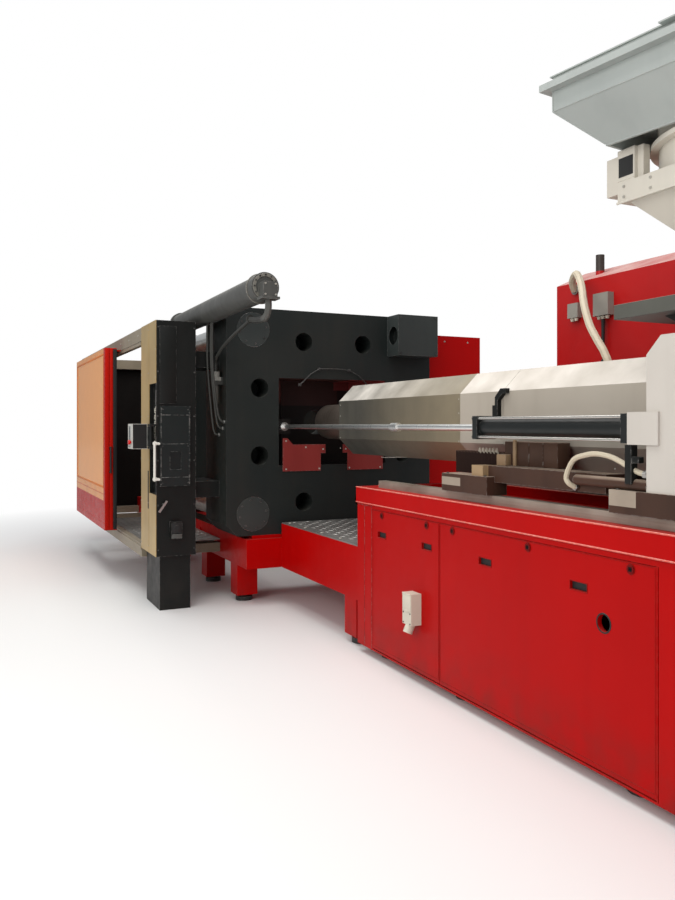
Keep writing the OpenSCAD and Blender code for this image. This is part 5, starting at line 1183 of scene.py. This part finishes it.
# Carriage cylinders: black painted tubes between square heads, which tie rods of bright
# steel clamp together. Nuts hold the rods at the front head.
cylinder_black = enamel(
    "cylinder_black", (0.010, 0.012, 0.012), (0.018, 0.018, 0.017), rough=0.35, dust=0.4,
    dust_and_lit_tops_colour=(0.09, 0.085, 0.08), bump=0.08, gloss=0.3)
cylinder_y, cylinder_z, tie_pitch = 0.5, 1.655, 0.0535
tie_half = Vector((0.554, 0.0085, 0.0085))
for side in (-1, 1):
    for y, z in ((-1, 1), (1, 1), (-1, -1)):
        middle = at(3.72, side * cylinder_y + y * tie_pitch, cylinder_z + z * tie_pitch)
        paint_zone(
            cylinder_black, middle - tie_half, middle + tie_half, (0.62, 0.60, 0.56), 0.25, 0.8,
            softness=0.0003)
dress("carriage_cylinders", cylinder_black)
tie_ends = [
    (side * cylinder_y + y * tie_pitch, cylinder_z + z * tie_pitch) for side in (-1, 1) for y in (-1, 1)
    for z in (-1, 1)]
nuts = bmesh.new()
for y, z in tie_ends:
    rod(nuts, at(3.108, y, z), at(3.1205, y, z), 0.012, 6, 0.001)
piece("cylinder_nuts", nuts, "carriage", screw_black)
hose_end = bmesh.new()
rod(hose_end, at(4.4185, -0.545, 1.452), at(4.395, -0.545, 1.452), 0.019, 6, 0.001)
rod(hose_end, at(3.94, -0.5153, 1.365), at(3.94, -0.535, 1.365), 0.019, 6, 0.001)
piece("carriage_hose_nuts", hose_end, "carriage", machined_steel)
dress("carriage_hose", hose_cover)

# Injection housing: a heavy casting in pale grey paint that carries the barrel. Its cheeks
# hold the carriage cylinders.
housing_light = enamel(
    "housing_light", (0.56, 0.52, 0.47), (0.42, 0.39, 0.35), rough=0.42, dust=0.3, wear=0.35)
dress("injection_housing", housing_light)
corners = [(side, y, z) for side in (-1, 1) for y in (-1, 1) for z in (-1, 1)]
cheek_seats = [at(4.32, side * cylinder_y + y * 0.055, 1.6545 + z * 0.055) for side, y, z in corners]
screws("cheek_screws", cheek_seats, (-1, 0, 0), 0.009, 0.006, screw_black, "carriage")
screws(
    "housing_side_screws", [at(x, -0.56, z) for x in (4.6, 5.4) for z in (1.45, 1.9)], (0, -1, 0), 0.014,
    0.010, screw_black, "carriage")

# Feed throat: a welded sheet funnel and drum in cream paint on a shelf over the housing.
# The shelf and its webs are painted dark, partly their own darker paint and partly painted
# shadow; the shelf's front edge and its top are painted lighter, as painted light. Three
# small boxes for the feed's controls stand at the drum's near corner.
throat_enamel = enamel(
    "throat_enamel", (0.64, 0.60, 0.52), (0.50, 0.46, 0.40), rough=0.42, dust=0.25, wear=0.3, bump=0.1)
# Painted shadow, partly: the shelf and its webs, darkened.
paint_zone(
    throat_enamel, at(3.9, -0.45, 2.0), at(5.1, 0.45, 2.2505), (0.035, 0.033, 0.030), 0.45, softness=0.0006)
# Painted light: the shelf's front edge, lighter than the rest of it.
paint_zone(
    throat_enamel, at(4.0, -0.402, 2.181), at(4.99, -0.398, 2.2505), (0.115, 0.115, 0.098), 0.4,
    softness=0.0006)
# Painted light: the shelf's top face, lighter still.
paint_zone(
    throat_enamel, at(4.0, -0.402, 2.2485), at(4.99, 0.402, 2.2515), (0.30, 0.29, 0.25), 0.45,
    softness=0.0006)
dress("feed_throat", throat_enamel)
hopper_mid = 4.57
drum_turns = [2 * math.pi * k / 20 for k in range(20)]
drum_seats = [at(hopper_mid + 0.460 * math.cos(t), 0.460 * math.sin(t), 2.96) for t in drum_turns]
screws("drum_screws", drum_seats, (0, 0, 1), 0.009, 0.007, body="carriage")
screws(
    "neck_screws", [at(hopper_mid + x, y, 2.27) for x in (-0.175, 0.175) for y in (-0.175, 0.0, 0.175)]
    + [at(hopper_mid, y, 2.27) for y in (-0.175, 0.175)], (0, 0, 1), 0.010, 0.008, body="carriage")
band_seats = [at(hopper_mid + u, -0.44, z) for u in spaced(-0.4, 0.4, 0.16) for z in (2.745, 2.793)]
screws("band_screws_near", band_seats, (0, -1, 0), 0.007, 0.004, body="carriage")
inset = bmesh.new()
box(inset, at(4.138, -0.4418, 2.84), at(4.226, -0.4398, 2.93), 0.0)
piece("feed_box_window", inset, "carriage", black_moulding)
rim_bits = bmesh.new()
for low, high in (((4.133, 2.822), (4.232, 2.827)), ((4.133, 2.957), (4.232, 2.962))):
    box(rim_bits, at(low[0], -0.4425, low[1]), at(high[0], -0.4395, high[1]), 0.001)
piece("feed_box_beads", rim_bits, "carriage", throat_enamel)
ribs = bmesh.new()
for u in (-0.4405, 0.4405):
    box(ribs, at(hopper_mid - 0.445, u - 0.003, 2.716), at(hopper_mid + 0.445, u + 0.003, 2.728), 0.001)
piece("frame_beads", ribs, "carriage", throat_enamel)

# Sleeve between the drum and the hopper: pale cloth in fixed pleats, closed into a low
# ring. It keeps the dust in.
sleeve_cloth = clouded("sleeve_cloth", (0.62, 0.60, 0.56), (0.42, 0.40, 0.37), 30, 0.85)
sleeve = bmesh.new()
pleats = 72


def ring(radius, depth, z):
    sweep = [(radius + depth * (k % 2), math.pi * k / pleats) for k in range(2 * pleats)]
    return [sleeve.verts.new(at(hopper_mid + r * math.cos(t), r * math.sin(t), z)) for r, t in sweep]


loops = [ring(0.448, 0.006, 2.9606), ring(0.448, 0.012, 2.966), ring(0.448, 0.006, 2.9712)]
loops += [ring(0.4455, 0.0, 2.9712), ring(0.4455, 0.0, 2.9606)]
for a, b in zip(loops, loops[1:] + loops[:1]):
    for k in range(2 * pleats):
        sleeve.faces.new((a[k], a[(k + 1) % (2 * pleats)], b[(k + 1) % (2 * pleats)], b[k]))
piece("dust_sleeve", sleeve, "carriage", sleeve_cloth)

# Hopper: a welded sheet funnel with a square band and a rim, turned a little on its drum.
# The lid is plain sheet, hinged at the back.
hopper_sheet = enamel(
    "hopper_sheet", (0.40, 0.43, 0.41), (0.31, 0.335, 0.325), rough=0.5, mottle=0.7, dust=0.2, wear=0.3,
    grime=0, dust_and_lit_tops_colour=(0.5, 0.5, 0.48), bump=0.08)
dress("hopper", hopper_sheet)
dress("hopper_lid", hopper_sheet)
hopper_turn = math.radians(8)


def at_hopper(u, v, z):
    return at(
        hopper_mid + u * math.cos(hopper_turn) - v * math.sin(hopper_turn),
        u * math.sin(hopper_turn) + v * math.cos(hopper_turn), z)


welds = bmesh.new()
for su in (-1, 1):
    for sv in (-1, 1):
        for run in (
            ((0.4815, 2.981), (0.5655, 3.0655), (0.6495, 3.1495)),
            ((0.6495, 3.151), (0.6495, 3.20), (0.6495, 3.244))):
            tube(welds, [at_hopper(su * r, sv * r, z) for r, z in run], 0.004, 8)
for sv in (-1, 1):
    tube(welds, [at_hopper(u, sv * 0.65, 3.15) for u in (-0.65, 0, 0.65)], 0.003, 8)
    tube(welds, [at_hopper(sv * 0.65, v, 3.15) for v in (-0.65, 0, 0.65)], 0.003, 8)
piece("hopper_welds", welds, "carriage", hopper_sheet)
rivets("hopper_lip_rivets", [at_hopper(u, -0.468, 2.98) for u in spaced(-0.42, 0.42, 0.14)], (0, 0, 1), 0.006)

# Screw drive: a thick plate in pale paint on two guide rods, bored for the screw. The motor
# that turns the screw is bolted to it, in dark grey.
dress("screw_drive", light_enamel)
motor_dark = enamel("motor_dark", **dict(dark_look, colour=(0.035, 0.038, 0.04)))
dress("screw_motor", motor_dark)
